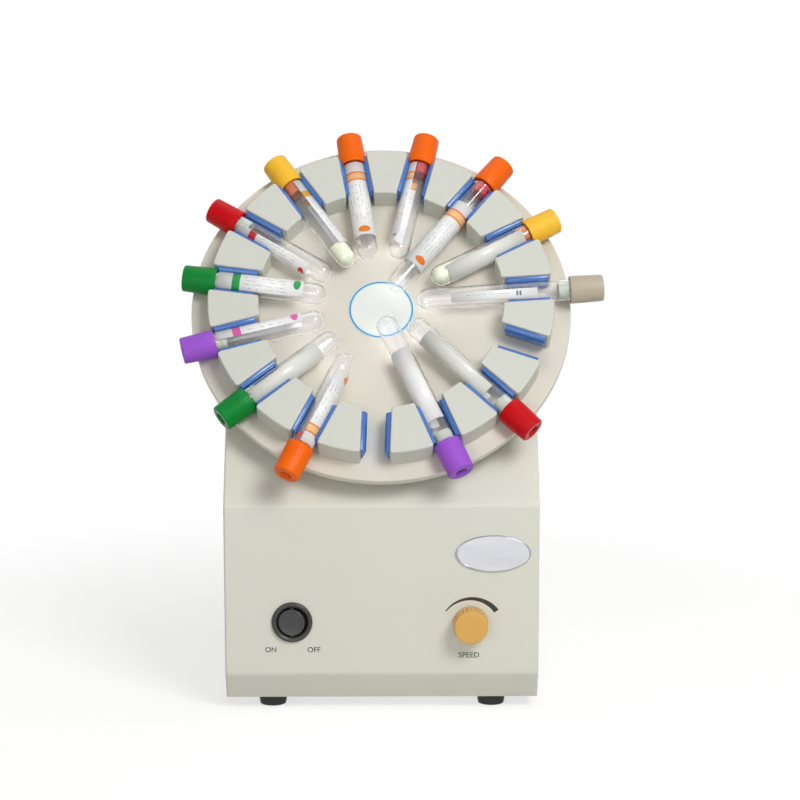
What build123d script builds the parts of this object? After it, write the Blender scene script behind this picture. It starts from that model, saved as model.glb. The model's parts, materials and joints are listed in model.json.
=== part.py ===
from build123d import *
import os
from math import atan2, cos, degrees, hypot, radians, sin

# A bench-top rotator that turns blood tubes on an inclined wheel.
# Lengths are in millimetres and angles in degrees.
# The origin is the centre of the base plate's underside. +Z is up, and the control panel faces -Y.

os.makedirs("parts", exist_ok=True)

# ---------------------------------------------------------------- housing
housing_width = 184.0
housing_depth = 200.0
panel_height = 117.4  # underside of the base to the crease above the control panel
slope_length = 172.0  # sloped face, from the crease to its top edge
slope_lean = 37.0  # lean of the sloped face back from the vertical
chamfer_height = 16.5  # undercut along the foot of the control panel
chamfer_setback = 9.2
wall = 2.0
bend_radius = 5.0
edge_radius = 1.5
sheet = 1.6  # base plate and rear panel
sheet_gap = 0.2  # between the sheet parts and the shell around them
flange = 14.0  # turned-up edges of the base plate and the rear panel
base_flange_length = 140.0

# ---------------------------------------------------------------- wheel
wheel_foot = 119.9  # up the slope, from the crease to the wheel's axis
wheel_standoff = 18.8  # slope face to the front face of the turntable
rest_turn = -2.0  # the wheel as it has stopped
disc_radius = 113.0
rim_depth = 4.9
disc_web = 3.0
rim_width = 4.0
rim_chamfer = 0.8
boss_radius = 26.0
rib_width = 2.4
rib_overlap = 0.5  # how far the ribs run into the rim, the boss and the web
slot_count = 15
slot_width = 17.0
block_inset = 10.5  # rim of the turntable to the outer ends of the blocks
block_length = 30.0
block_height = 15.6
block_chamfer = 0.7
block_thread = 7.8  # depth of the screw's hole in a block
label_radius = 19.5
label_thickness = 0.3

# ---------------------------------------------------------------- rubber grips in the slots
grip_length = 25.0
grip_base = 1.0  # above the turntable
grip_height = 13.2
grip_reach = 3.3  # how far the relaxed nose stands out of the block
grip_foot_reach = 0.6  # the same at the grip's lower edge
grip_seat = 1.0  # depth of the grip's pocket in the block
grip_clearance = 0.3  # yielded grip to tube and cap

# ---------------------------------------------------------------- tubes
tube_radius = 6.5
tube_wall = 1.0
tube_height = 9.5  # tube axis above the turntable
tube_pivot_inset = 3.0  # a leaning tube crosses the middle of its slot this far inside the blocks
cap_radius = 8.2
cap_length = 20.0
cap_overhang = 11.0  # the part of the cap beyond the tube's mouth
cap_bevel = 0.8
cap_bevel_length = 1.2
cap_well_radius = 3.4
cap_well_draft = 0.6
cap_well_depth = 5.0
cap_fit = 0.05
stopper_length = 16.0  # rubber stopper inside the tube, from the mouth
short_tube = 75.0
middle_tube = 90.0
long_tube = 100.0

# The loaded slots, counted clockwise from the one left of the top:
# slot, tube length, distance of the cap's outer end from the wheel's axis, sideways lean of the tube.
loaded_slots = [
    ("01", short_tube, 116.4, -1.7),
    ("02", short_tube, 117.7, 1.4),
    ("03", long_tube, 121.5, -0.2),
    ("04", short_tube, 119.4, 0.9),
    ("05", long_tube, 132.2, 0.2),
    ("07", middle_tube, 122.6, -1.8),
    ("08", long_tube, 121.0, 1.9),
    ("10", short_tube, 126.1, 1.6),
    ("11", short_tube, 120.7, -0.6),
    ("12", short_tube, 121.4, -1.5),
    ("13", short_tube, 118.8, 0.1),
    ("14", short_tube, 120.3, -1.2),
    ("15", short_tube, 117.0, -0.5),
]

# ---------------------------------------------------------------- wheel drive
spindle_radius = 5.0
running_clearance = 0.05
press_gap = 0.02  # between parts that are pressed together
end_gap = 0.3  # along the axis, between turning and standing parts
hub_flange_radius = 24.0
hub_flange = 4.0
hub_radius = 11.0
hub_slope_gap = 3.0
shoulder_radius = 7.0
bearing_radius = 15.0
bearing_width = 9.0
bearing_span = 31.5  # front face of the front bearing to the rear face of the rear one
bearing_inset = 1.7  # inner side of the slope to the front bearing
housing_flange_radius = 27.0
housing_flange = 4.5
housing_barrel_radius = 19.0
housing_shoulder_radius = 12.5
slope_hole_radius = 12.0
spindle_recess = 0.5  # front end of the spindle behind the turntable's face
spindle_chamfer = 0.5
shield_recess = 0.5
coupling_radius = 9.5
coupling_length = 20.0
coupling_grip = 9.0  # length of spindle inside the coupling
motor_plate_width = 78.0
motor_plate_thickness = 3.0
plate_gap = 5.0  # coupling to motor plate
pillar_pitch = 64.0
pillar_radius = 4.0
pillar_thread = 10.0
gearbox_radius = 18.5
gearbox_length = 24.0
gearbox_offset = 7.0  # output shaft above the gearbox's centre
gear_shaft_radius = 3.0
gearbox_boss_radius = 6.0
motor_radius = 17.5
motor_length = 43.0
motor_edge = 2.0
motor_bearing_radius = 5.8
motor_bearing_depth = 2.5
motor_tab_pitch = 22.8
motor_tab_width = 4.0
motor_tab_length = 6.0

# ---------------------------------------------------------------- controls and badge, as (x, z) on the panel
switch_place = (-52.5, 48.0)
switch_bezel_radius = 12.0
switch_bezel = 2.2
switch_barrel_radius = 10.0
switch_depth = 19.0
switch_tab_pitch = 10.0
well_radius = 8.8
well_depth = 8.5
rocker_radius = 7.9
rocker_pivot_depth = 0.5  # pivot behind the panel's face
rocker_crown = 2.3  # rocker face in front of the panel's face
rocker_back = 3.6  # rocker body behind its pivot
rocker_tilt = 9.0
rocker_edge = 0.6
pivot_radius = 1.2
pivot_reach = 0.8
knob_place = (51.9, 47.4)
knob_radius = 10.2
knob_depth = 12.0
knob_gap = 1.0
knob_flutes = 20
knob_flute_radius = 0.9
knob_flute_end = 2.0  # plain ring left at the front of the knob
knob_edge = 0.8
knob_face = 3.0  # front wall of the knob
knob_shaft_radius = 3.0
bushing_radius = 4.5
nut_across_flats = 12.0
nut_thickness = 2.4
nut_room = 1.5  # from the nut's flats to the knob's hollow
bushing_lead = 1.0  # the bushing's thread in front of its nut
pot_radius = 12.0
pot_depth = 9.5
pot_shaft_depth = 2.0  # the shaft inside the potentiometer
pot_tab_pitch = 5.0
pot_tab_size = (1.6, 12.0, 1.0)
pot_tab_depth = 3.0  # tabs behind the potentiometer's front
badge_place = (65.1, 89.0)
badge_width = 44.0
badge_height = 21.6
badge_thickness = 1.4
badge_slope = 0.84
hole_gap = 0.3  # clearance of controls in the panel's holes

# ---------------------------------------------------------------- feet, screws, electrics
foot_spread = 130.0
foot_depth_spread = 156.0
foot_top_radius = 8.9
foot_bottom_radius = 7.65
foot_height = 7.0
foot_recess_radius = 4.5
foot_recess = 3.0
screw_radius = 1.5
screw_head_radius = 2.8
screw_head = 1.8
screw_gap = 0.1
screw_end = 3.0  # length of a screw that shows past its thread
hole_end = 2.0  # blind hole past the tip of its screw
hole_floor = 1.0  # material left under a blind hole
case_screw_length = 7.0
base_screw_places = (-55.0, 45.0)  # along Y
rear_screw_height = 65.0
rear_screw_drop = 25.0  # below the top of the housing
tab_thickness = 0.8  # push-on tabs
tab_width = 4.8
tab_length = 8.0
board_width = 100.0
board_depth = 62.0
board_thickness = 1.6
board_place = (0.0, 5.0)
board_lift = 8.0
board_hole_inset = 5.0
board_standoff_radius = 3.0
board_snap = 1.0  # standoff pin above the board
transformer_place = (-25.0, 0.0)  # on the board
transformer_size = (30.0, 34.0, 24.0)
capacitor_place = (12.5, 12.4)
capacitor_radius = 8.0
capacitor_height = 20.0
sink_place = (33.3, 0.0)
sink_fins = 4
sink_fin_pitch = 5.0
sink_fin = 1.5
sink_length = 30.0
sink_height = 18.0
sink_web = 2.0
inlet_place = (-52.0, 42.0)
inlet_width = 27.4
inlet_height = 20.0
inlet_flange = 3.0
inlet_flange_lip = 2.0
inlet_corner = 2.5
inlet_depth = 22.0
inlet_mouth_width = 24.4
inlet_mouth_height = 16.6
inlet_mouth_depth = 16.0
inlet_mouth_chamfer = 4.0
inlet_pin_size = (2.0, 4.0)
inlet_pin_length = 10.5
inlet_pin_pitch = 14.0
inlet_pin_rise = 2.0  # earth pin above the middle, the other two below it
inlet_tab_pitch = 7.0
vent_count = 11
vent_pitch = 8.0
vent_width = 3.0
vent_length = 30.0
vent_row_heights = (110.0, 175.0)
base_vent_y = 62.0
near = 0.01  # tolerance of the selections by place

# ---------------------------------------------------------------- worked-out places
front_y = -housing_depth / 2
rear_y = housing_depth / 2
side_x = housing_width / 2
lean = radians(slope_lean)
up_slope = Vector(0, sin(lean), cos(lean))
out_of_slope = Vector(0, -cos(lean), sin(lean))
crease = Vector(0, front_y, panel_height)
top_edge = crease + up_slope * slope_length
disc_centre = crease + up_slope * wheel_foot + out_of_slope * wheel_standoff
turn = radians(rest_turn)
wheel_x = Vector(cos(turn), 0, 0) + up_slope * sin(turn)

# The wheel plane lies on the turntable's front face, its normal along the wheel's axis.
wheel_plane = Plane(origin=disc_centre, x_dir=wheel_x, z_dir=out_of_slope)
drive_plane = Plane(origin=disc_centre, x_dir=(1, 0, 0), z_dir=out_of_slope)
wheel_axis = Axis(disc_centre, out_of_slope)
# Half sections through the axis are drawn here: x is the radius, y the place along the axis.
wheel_section = Plane(origin=disc_centre, x_dir=(1, 0, 0), z_dir=-up_slope)

slot_pitch = 360 / slot_count
first_slot_angle = 90 + slot_pitch / 2
first_block_angle = 90
block_outer_radius = disc_radius - block_inset
block_inner_radius = block_outer_radius - block_length
grip_radius = (block_inner_radius + block_outer_radius) / 2
tube_pivot_radius = block_outer_radius - tube_pivot_inset
grip_top = grip_base + grip_height
grip_nose_height = grip_top - grip_reach
slope_inside = -(wheel_standoff + wall)
bearing_front = slope_inside - bearing_inset
bearing_rear = bearing_front - bearing_span
coupling_front = bearing_rear - end_gap
coupling_rear = coupling_front - coupling_length
plate_front = coupling_rear - plate_gap
plate_rear = plate_front - motor_plate_thickness
gearbox_rear = plate_rear - gearbox_length
bearing_screw_circle = (housing_flange_radius + housing_barrel_radius) / 2
hub_screw_circle = (hub_flange_radius + hub_radius) / 2
base_screw_height = flange / 2 + sheet
rear_screw_heights = (rear_screw_height, top_edge.Z - rear_screw_drop)
undercut_slant = hypot(chamfer_height, chamfer_setback) / chamfer_height
base_front = front_y + chamfer_setback + wall * undercut_slant + sheet_gap
base_half_width = side_x - wall - sheet_gap
screw_sink = screw_head_radius - screw_radius
board_bottom = sheet + board_lift
board_hole_spread = (board_width - 2 * board_hole_inset, board_depth - 2 * board_hole_inset)


def panel_plane(place, lift=0.0):
    """A plane on the control panel at (x, z), facing the user."""
    return Plane(origin=(place[0], front_y - lift, place[1]), x_dir=(1, 0, 0), z_dir=(0, -1, 0))


def panel_section(place):
    """A half section through a control: x is the radius, y the distance in front of the panel."""
    return Plane(origin=(place[0], front_y, place[1]), x_dir=(1, 0, 0), z_dir=(0, 0, -1))


def panel_axis(place):
    return Axis((place[0], front_y, place[1]), (0, -1, 0))


def side_screw_planes():
    """Planes on the two side walls, facing outwards, at the case screws."""
    planes = []
    for side in (-1, 1):
        base_screws = [(y, base_screw_height) for y in base_screw_places]
        rear_screws = [(rear_y - flange / 2 - sheet, z) for z in rear_screw_heights]
        for y, z in base_screws + rear_screws:
            planes.append(Plane(origin=(side * side_x, y, z), x_dir=(0, 1, 0), z_dir=(side, 0, 0)))
    return planes


def side_outline(overrun=0.0):
    """The housing's corners from the side; overrun carries the foot and the rear past their openings."""
    return [
        (front_y + chamfer_setback * (1 + overrun / chamfer_height), -overrun),
        (front_y, chamfer_height),
        (front_y, panel_height),
        (top_edge.Y, top_edge.Z),
        (rear_y + overrun, top_edge.Z),
        (rear_y + overrun, -overrun),
    ]


def is_bend(vertex):
    """True at the folds of the side outline, false at its open foot and rear."""
    return vertex.Y > chamfer_height / 2 and vertex.X < rear_y - bend_radius


def make_housing_shell():
    with BuildPart() as housing_shell:
        with BuildSketch(Plane.YZ) as outside:
            with BuildLine():
                Polyline(*side_outline(), close=True)
            make_face()
            fillet(outside.vertices().filter_by(is_bend), bend_radius)
        extrude(amount=side_x, both=True)
        side_faces = housing_shell.faces().filter_by(Axis.X)
        outline = side_faces.edges().filter_by(lambda e: abs(e.center().Z) > near)
        outline = outline.filter_by(lambda e: abs(e.center().Y - rear_y) > near)
        fillet(outline, edge_radius)
        with BuildSketch(Plane.YZ) as inside:
            with BuildLine():
                Polyline(*side_outline(overrun=2 * wall), close=True)
            make_face()
            fillet(inside.vertices().filter_by(is_bend), bend_radius)
            offset(amount=-wall)
        extrude(amount=side_x - wall, both=True, mode=Mode.SUBTRACT)
        with Locations(panel_plane(switch_place)):
            Hole(switch_barrel_radius + hole_gap, depth=2 * wall)
        with Locations(panel_plane(knob_place)):
            Hole(bushing_radius + hole_gap, depth=2 * wall)
        with Locations(drive_plane.offset(-wheel_standoff)):
            Hole(slope_hole_radius, depth=2 * wall)
            with PolarLocations(bearing_screw_circle, 4, start_angle=45):
                Hole(screw_radius + screw_gap, depth=2 * wall)
        with Locations(*side_screw_planes()):
            Hole(screw_radius + screw_gap, depth=2 * wall)
    housing_shell.part.label = "housing_shell"
    export_step(housing_shell.part, "parts/housing_shell.step")


def make_base_plate():
    depth = rear_y - base_front
    with BuildPart() as base_plate:
        with BuildSketch(Plane.XY):
            with Locations((0, (base_front + rear_y) / 2)):
                Rectangle(2 * base_half_width, depth)
        extrude(amount=sheet)
        with BuildSketch(Plane.XY.offset(sheet)):
            with GridLocations(2 * base_half_width - sheet, 0, 2, 1):
                Rectangle(sheet, base_flange_length)
        extrude(amount=flange - sheet)
        with Locations(Plane.XY.offset(sheet)):
            with GridLocations(foot_spread, foot_depth_spread, 2, 2):
                Hole(screw_radius + screw_gap)
        with BuildSketch(Plane.XY):
            with Locations((0, base_vent_y)):
                with GridLocations(vent_pitch, 0, vent_count, 1):
                    Rectangle(vent_width, vent_length)
        extrude(amount=sheet, mode=Mode.SUBTRACT)
        with Locations(*side_screw_planes()):
            Hole(screw_radius + screw_gap, depth=2 * wall + sheet)
    base_plate.part.label = "base_plate"
    export_step(base_plate.part, "parts/base_plate.step")


def make_rear_panel():
    top = top_edge.Z - wall - sheet_gap
    bottom = sheet + sheet_gap
    with BuildPart() as rear_panel:
        with BuildSketch(Plane.XZ.offset(-rear_y)):
            with Locations((0, (top + bottom) / 2)):
                Rectangle(2 * base_half_width, top - bottom)
        extrude(amount=sheet)
        with BuildSketch(Plane.XZ.offset(sheet - rear_y)):
            with Locations((0, (top + flange + sheet) / 2)):
                with GridLocations(2 * base_half_width - sheet, 0, 2, 1):
                    Rectangle(sheet, top - flange - 2 * sheet)
        extrude(amount=flange - sheet)
        with BuildSketch(Plane.XZ.offset(-rear_y)):
            for height in vent_row_heights:
                with Locations((0, height)):
                    with GridLocations(vent_pitch, 0, vent_count, 1):
                        Rectangle(vent_width, vent_length)
            with Locations(inlet_place):
                Rectangle(inlet_width, inlet_height)
        extrude(amount=sheet, mode=Mode.SUBTRACT)
        with Locations(*side_screw_planes()):
            Hole(screw_radius + screw_gap, depth=2 * wall + sheet)
    rear_panel.part.label = "rear_panel"
    export_step(rear_panel.part, "parts/rear_panel.step")


def make_rubber_feet():
    foot_draft = degrees(atan2(foot_top_radius - foot_bottom_radius, foot_height))
    underneath = Plane(origin=(0, 0, -foot_height), x_dir=(1, 0, 0), z_dir=(0, 0, -1))
    with BuildPart() as rubber_feet:
        with BuildSketch(Plane.XY):
            with GridLocations(foot_spread, foot_depth_spread, 2, 2):
                Circle(foot_top_radius)
        extrude(amount=-foot_height, taper=foot_draft)
        with Locations(underneath):
            with GridLocations(foot_spread, foot_depth_spread, 2, 2):
                CounterBoreHole(screw_radius + screw_gap, foot_recess_radius, foot_recess)
    rubber_feet.part.label = "rubber_feet"
    export_step(rubber_feet.part, "parts/rubber_feet.step")


def make_foot_screws():
    shank = foot_height - foot_recess + sheet + screw_end
    with BuildPart() as foot_screws:
        with Locations(Plane.XY.offset(foot_recess - foot_height)):
            with GridLocations(foot_spread, foot_depth_spread, 2, 2):
                Cylinder(screw_head_radius, screw_head, align=(Align.CENTER, Align.CENTER, Align.MAX))
                Cylinder(screw_radius, shank, align=(Align.CENTER, Align.CENTER, Align.MIN))
    foot_screws.part.label = "foot_screws"
    export_step(foot_screws.part, "parts/foot_screws.step")


def make_case_screws():
    with BuildPart() as case_screws:
        with Locations(*side_screw_planes()):
            Cylinder(screw_head_radius, screw_head, align=(Align.CENTER, Align.CENTER, Align.MIN))
            Cylinder(screw_radius, case_screw_length, align=(Align.CENTER, Align.CENTER, Align.MAX))
    case_screws.part.label = "case_screws"
    export_step(case_screws.part, "parts/case_screws.step")


def make_turntable():
    with BuildPart() as turntable:
        with BuildSketch(wheel_section):
            with BuildLine():
                Polyline(
                    (spindle_radius + press_gap, 0),
                    (disc_radius - rim_chamfer, 0),
                    (disc_radius, -rim_chamfer),
                    (disc_radius, -rim_depth),
                    (disc_radius - rim_width, -rim_depth),
                    (disc_radius - rim_width, -disc_web),
                    (boss_radius, -disc_web),
                    (boss_radius, -rim_depth),
                    (spindle_radius + press_gap, -rim_depth),
                    close=True,
                )
            make_face()
        revolve(axis=wheel_axis)
        rib_middle = (boss_radius + disc_radius - rim_width) / 2
        with BuildSketch(wheel_plane.offset(-rim_depth)):
            with PolarLocations(rib_middle, slot_count, start_angle=first_block_angle):
                Rectangle(disc_radius - rim_width - boss_radius + 2 * rib_overlap, rib_width)
            with PolarLocations(grip_radius, slot_count, start_angle=first_block_angle):
                Circle(screw_head_radius + rib_width / 2)
        extrude(amount=rim_depth - disc_web + rib_overlap)
        back = Plane(origin=wheel_plane.offset(-rim_depth).origin, x_dir=wheel_x, z_dir=-out_of_slope)
        with Locations(back):
            with PolarLocations(grip_radius, slot_count, start_angle=-first_block_angle):
                CounterSinkHole(screw_radius + screw_gap, screw_head_radius + screw_gap)
            with PolarLocations(hub_screw_circle, 4):
                Hole(screw_radius + press_gap, depth=rim_depth - hole_floor)
    turntable.part.label = "turntable"
    export_step(turntable.part, "parts/turntable.step")


def make_holder_blocks():
    with BuildPart() as holder_blocks:
        with BuildSketch(wheel_plane):
            Circle(block_outer_radius)
            Circle(block_inner_radius, mode=Mode.SUBTRACT)
            with PolarLocations(grip_radius, slot_count, start_angle=first_slot_angle):
                Rectangle(2 * (block_outer_radius - block_inner_radius), slot_width, mode=Mode.SUBTRACT)
        extrude(amount=block_height)
        tops = holder_blocks.faces().group_by(wheel_axis)[-1]
        chamfer(tops.edges(), block_chamfer)
        with BuildSketch(wheel_plane.offset(grip_base)):
            with PolarLocations(grip_radius, slot_count, start_angle=first_slot_angle):
                Rectangle(grip_length, slot_width + 2 * grip_seat)
        extrude(amount=grip_height, mode=Mode.SUBTRACT)
        with BuildSketch(wheel_plane):
            with PolarLocations(grip_radius, slot_count, start_angle=first_block_angle):
                Circle(screw_radius + press_gap)
        extrude(amount=block_thread, mode=Mode.SUBTRACT)
    holder_blocks.part.label = "holder_blocks"
    export_step(holder_blocks.part, "parts/holder_blocks.step")


def slot_angle(slot):
    return first_slot_angle - slot_pitch * (slot - 1)


def slot_middle_plane(slot, radius):
    """On the turntable at the middle of a slot: x points outwards along the slot, z away from the disc."""
    angle = radians(slot_angle(slot))
    outwards = wheel_plane.x_dir * cos(angle) + wheel_plane.y_dir * sin(angle)
    return Plane(origin=disc_centre + outwards * radius, x_dir=outwards, z_dir=out_of_slope)


def tube_plane(slot, sideways):
    """On the axis of the tube in a slot, where it crosses the slot's middle; x points along the tube."""
    slot_plane = slot_middle_plane(int(slot), tube_pivot_radius)
    angle = radians(sideways)
    outwards = slot_plane.x_dir * cos(angle) + slot_plane.y_dir * sin(angle)
    return Plane(origin=slot_plane.offset(tube_height).origin, x_dir=outwards, z_dir=out_of_slope)


def across_plane(plane, along):
    """Square to a plane's x, at the distance along from its origin; its own y points off the disc."""
    return Plane(origin=plane.origin + plane.x_dir * along, x_dir=plane.y_dir, z_dir=plane.x_dir)


def make_slot_grips():
    """Round-nosed rubber strips, two to a slot; where a tube sits, it has pressed its own shape."""
    wall_face = slot_width / 2
    with BuildPart() as slot_grips:
        for slot in range(1, slot_count + 1):
            with BuildSketch(across_plane(slot_middle_plane(slot, grip_radius), -grip_length / 2)):
                with BuildLine():
                    Polyline(
                        (wall_face, grip_top),
                        (wall_face + grip_seat, grip_top),
                        (wall_face + grip_seat, grip_base),
                        (wall_face - grip_foot_reach, grip_base),
                        (wall_face - grip_reach, grip_nose_height),
                    )
                    CenterArc((wall_face, grip_nose_height), grip_reach, 90, 90)
                make_face()
                mirror(about=Plane.YZ)
            extrude(amount=grip_length)
        for slot, _, reach, sideways in loaded_slots:
            tube_axis = tube_plane(slot, sideways)
            cap_skirt = reach - cap_length - grip_clearance - tube_pivot_radius
            with BuildSketch(across_plane(tube_axis, -2 * grip_length)):
                Circle(tube_radius + grip_clearance)
            extrude(amount=3 * grip_length, mode=Mode.SUBTRACT)
            with BuildSketch(across_plane(tube_axis, cap_skirt)):
                Circle(cap_radius + grip_clearance)
            extrude(amount=grip_length, mode=Mode.SUBTRACT)
    slot_grips.part.label = "slot_grips"
    export_step(slot_grips.part, "parts/slot_grips.step")


def make_block_screws():
    shank = rim_depth - screw_sink + block_thread - hole_end
    with BuildPart() as block_screws:
        with Locations(wheel_plane.offset(-rim_depth)):
            with PolarLocations(grip_radius, slot_count, start_angle=first_block_angle):
                Cone(
                    screw_head_radius,
                    screw_radius,
                    screw_sink,
                    align=(Align.CENTER, Align.CENTER, Align.MIN),
                )
        with Locations(wheel_plane.offset(screw_sink - rim_depth)):
            with PolarLocations(grip_radius, slot_count, start_angle=first_block_angle):
                Cylinder(screw_radius, shank, align=(Align.CENTER, Align.CENTER, Align.MIN))
    block_screws.part.label = "block_screws"
    export_step(block_screws.part, "parts/block_screws.step")


def make_centre_label():
    with BuildPart() as centre_label:
        with BuildSketch(wheel_plane):
            Circle(label_radius)
        extrude(amount=label_thickness)
    centre_label.part.label = "centre_label"
    export_step(centre_label.part, "parts/centre_label.step")


def make_hub():
    flange_rear = -rim_depth - hub_flange
    with BuildPart() as hub:
        with BuildSketch(wheel_section):
            with BuildLine():
                Polyline(
                    (spindle_radius + press_gap, -rim_depth),
                    (hub_flange_radius, -rim_depth),
                    (hub_flange_radius, flange_rear),
                    (hub_radius, flange_rear),
                    (hub_radius, hub_slope_gap - wheel_standoff),
                    (spindle_radius + press_gap, hub_slope_gap - wheel_standoff),
                    close=True,
                )
            make_face()
        revolve(axis=wheel_axis)
        with Locations(wheel_plane.offset(-rim_depth)):
            with PolarLocations(hub_screw_circle, 4):
                Hole(screw_radius + screw_gap, depth=hub_flange)
    hub.part.label = "hub"
    export_step(hub.part, "parts/hub.step")


def make_hub_screws():
    shank = hub_flange + rim_depth - hole_floor - end_gap
    with BuildPart() as hub_screws:
        with Locations(wheel_plane.offset(-rim_depth - hub_flange)):
            with PolarLocations(hub_screw_circle, 4):
                Cylinder(screw_head_radius, screw_head, align=(Align.CENTER, Align.CENTER, Align.MAX))
                Cylinder(screw_radius, shank, align=(Align.CENTER, Align.CENTER, Align.MIN))
    hub_screws.part.label = "hub_screws"
    export_step(hub_screws.part, "parts/hub_screws.step")


def make_spindle():
    shoulder_front = hub_slope_gap - wheel_standoff
    shoulder_rear = bearing_front + end_gap
    with BuildPart() as spindle:
        with BuildSketch(wheel_section):
            with BuildLine():
                Polyline(
                    (0, -spindle_recess),
                    (spindle_radius - spindle_chamfer, -spindle_recess),
                    (spindle_radius, -spindle_recess - spindle_chamfer),
                    (spindle_radius, shoulder_front),
                    (shoulder_radius, shoulder_front),
                    (shoulder_radius, shoulder_rear),
                    (spindle_radius, shoulder_rear),
                    (spindle_radius, coupling_front - coupling_grip),
                    (0, coupling_front - coupling_grip),
                    close=True,
                )
            make_face()
        revolve(axis=wheel_axis)
    spindle.part.label = "spindle"
    export_step(spindle.part, "parts/spindle.step")


def make_bearing_housing():
    flange_rear = slope_inside - housing_flange
    seat_rear = bearing_front - bearing_width
    seat_front = bearing_rear + bearing_width
    with BuildPart() as bearing_housing:
        with BuildSketch(wheel_section):
            with BuildLine():
                Polyline(
                    (bearing_radius + press_gap, slope_inside),
                    (housing_flange_radius, slope_inside),
                    (housing_flange_radius, flange_rear),
                    (housing_barrel_radius, flange_rear),
                    (housing_barrel_radius, bearing_rear),
                    (bearing_radius + press_gap, bearing_rear),
                    (bearing_radius + press_gap, seat_front),
                    (housing_shoulder_radius, seat_front),
                    (housing_shoulder_radius, seat_rear),
                    (bearing_radius + press_gap, seat_rear),
                    close=True,
                )
            make_face()
        revolve(axis=wheel_axis)
        with Locations(drive_plane.offset(slope_inside)):
            with PolarLocations(bearing_screw_circle, 4, start_angle=45):
                Hole(screw_radius + press_gap, depth=housing_flange)
    bearing_housing.part.label = "bearing_housing"
    export_step(bearing_housing.part, "parts/bearing_housing.step")


def make_spindle_bearings():
    """Two ball bearings, each with a shallow ring of shield between its inner and outer race."""
    race = (bearing_radius - spindle_radius) / 4
    with BuildPart() as spindle_bearings:
        for front in (bearing_front, bearing_rear + bearing_width):
            with BuildSketch(wheel_section):
                with BuildLine():
                    Polyline(
                        (spindle_radius + running_clearance, front),
                        (spindle_radius + race, front),
                        (spindle_radius + race, front - shield_recess),
                        (bearing_radius - race, front - shield_recess),
                        (bearing_radius - race, front),
                        (bearing_radius, front),
                        (bearing_radius, front - bearing_width),
                        (spindle_radius + running_clearance, front - bearing_width),
                        close=True,
                    )
                make_face()
            revolve(axis=wheel_axis)
    spindle_bearings.part.label = "spindle_bearings"
    export_step(spindle_bearings.part, "parts/spindle_bearings.step")


def make_bearing_screws():
    with BuildPart() as bearing_screws:
        with Locations(drive_plane.offset(-wheel_standoff)):
            with PolarLocations(bearing_screw_circle, 4, start_angle=45):
                Cylinder(screw_head_radius, screw_head, align=(Align.CENTER, Align.CENTER, Align.MIN))
                Cylinder(screw_radius, wall + housing_flange, align=(Align.CENTER, Align.CENTER, Align.MAX))
    bearing_screws.part.label = "bearing_screws"
    export_step(bearing_screws.part, "parts/bearing_screws.step")


def make_shaft_coupling():
    with BuildPart() as shaft_coupling:
        with BuildSketch(wheel_section):
            with BuildLine():
                Polyline(
                    (spindle_radius + press_gap, coupling_front),
                    (coupling_radius, coupling_front),
                    (coupling_radius, coupling_rear),
                    (gear_shaft_radius + press_gap, coupling_rear),
                    (gear_shaft_radius + press_gap, coupling_front - coupling_grip),
                    (spindle_radius + press_gap, coupling_front - coupling_grip),
                    close=True,
                )
            make_face()
        revolve(axis=wheel_axis)
    shaft_coupling.part.label = "shaft_coupling"
    export_step(shaft_coupling.part, "parts/shaft_coupling.step")


def make_gearbox_shaft():
    front = coupling_front - coupling_grip - end_gap
    rear = plate_rear - gearbox_length / 2
    with BuildPart() as gearbox_shaft:
        with BuildSketch(drive_plane.offset(rear)):
            Circle(gear_shaft_radius)
        extrude(amount=front - rear)
    gearbox_shaft.part.label = "gearbox_shaft"
    export_step(gearbox_shaft.part, "parts/gearbox_shaft.step")


def make_motor_plate():
    with BuildPart() as motor_plate:
        with BuildSketch(drive_plane.offset(plate_rear)):
            RectangleRounded(motor_plate_width, motor_plate_width, pillar_radius)
            Circle(gearbox_boss_radius + hole_gap, mode=Mode.SUBTRACT)
            with GridLocations(pillar_pitch, pillar_pitch, 2, 2):
                Circle(screw_radius + screw_gap, mode=Mode.SUBTRACT)
        extrude(amount=motor_plate_thickness)
    motor_plate.part.label = "motor_plate"
    export_step(motor_plate.part, "parts/motor_plate.step")


def make_motor_pillars():
    with BuildPart() as motor_pillars:
        with BuildSketch(drive_plane.offset(plate_front)):
            with GridLocations(pillar_pitch, pillar_pitch, 2, 2):
                Circle(pillar_radius)
        extrude(amount=slope_inside - plate_front)
        with BuildSketch(drive_plane.offset(plate_front)):
            with GridLocations(pillar_pitch, pillar_pitch, 2, 2):
                Circle(screw_radius + press_gap)
        extrude(amount=pillar_thread, mode=Mode.SUBTRACT)
    motor_pillars.part.label = "motor_pillars"
    export_step(motor_pillars.part, "parts/motor_pillars.step")


def make_pillar_screws():
    shank = motor_plate_thickness + pillar_thread - hole_end
    with BuildPart() as pillar_screws:
        with Locations(drive_plane.offset(plate_rear)):
            with GridLocations(pillar_pitch, pillar_pitch, 2, 2):
                Cylinder(screw_head_radius, screw_head, align=(Align.CENTER, Align.CENTER, Align.MAX))
                Cylinder(screw_radius, shank, align=(Align.CENTER, Align.CENTER, Align.MIN))
    pillar_screws.part.label = "pillar_screws"
    export_step(pillar_screws.part, "parts/pillar_screws.step")


def make_gearbox():
    with BuildPart() as gearbox:
        with BuildSketch(drive_plane.offset(plate_rear)):
            with Locations((0, -gearbox_offset)):
                Circle(gearbox_radius)
        extrude(amount=-gearbox_length)
        with BuildSketch(drive_plane.offset(plate_rear)):
            Circle(gearbox_boss_radius)
        extrude(amount=motor_plate_thickness)
        with BuildSketch(drive_plane.offset(plate_front)):
            Circle(gear_shaft_radius + running_clearance)
        extrude(amount=-motor_plate_thickness - gearbox_length / 2 - end_gap, mode=Mode.SUBTRACT)
    gearbox.part.label = "gearbox"
    export_step(gearbox.part, "parts/gearbox.step")


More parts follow.
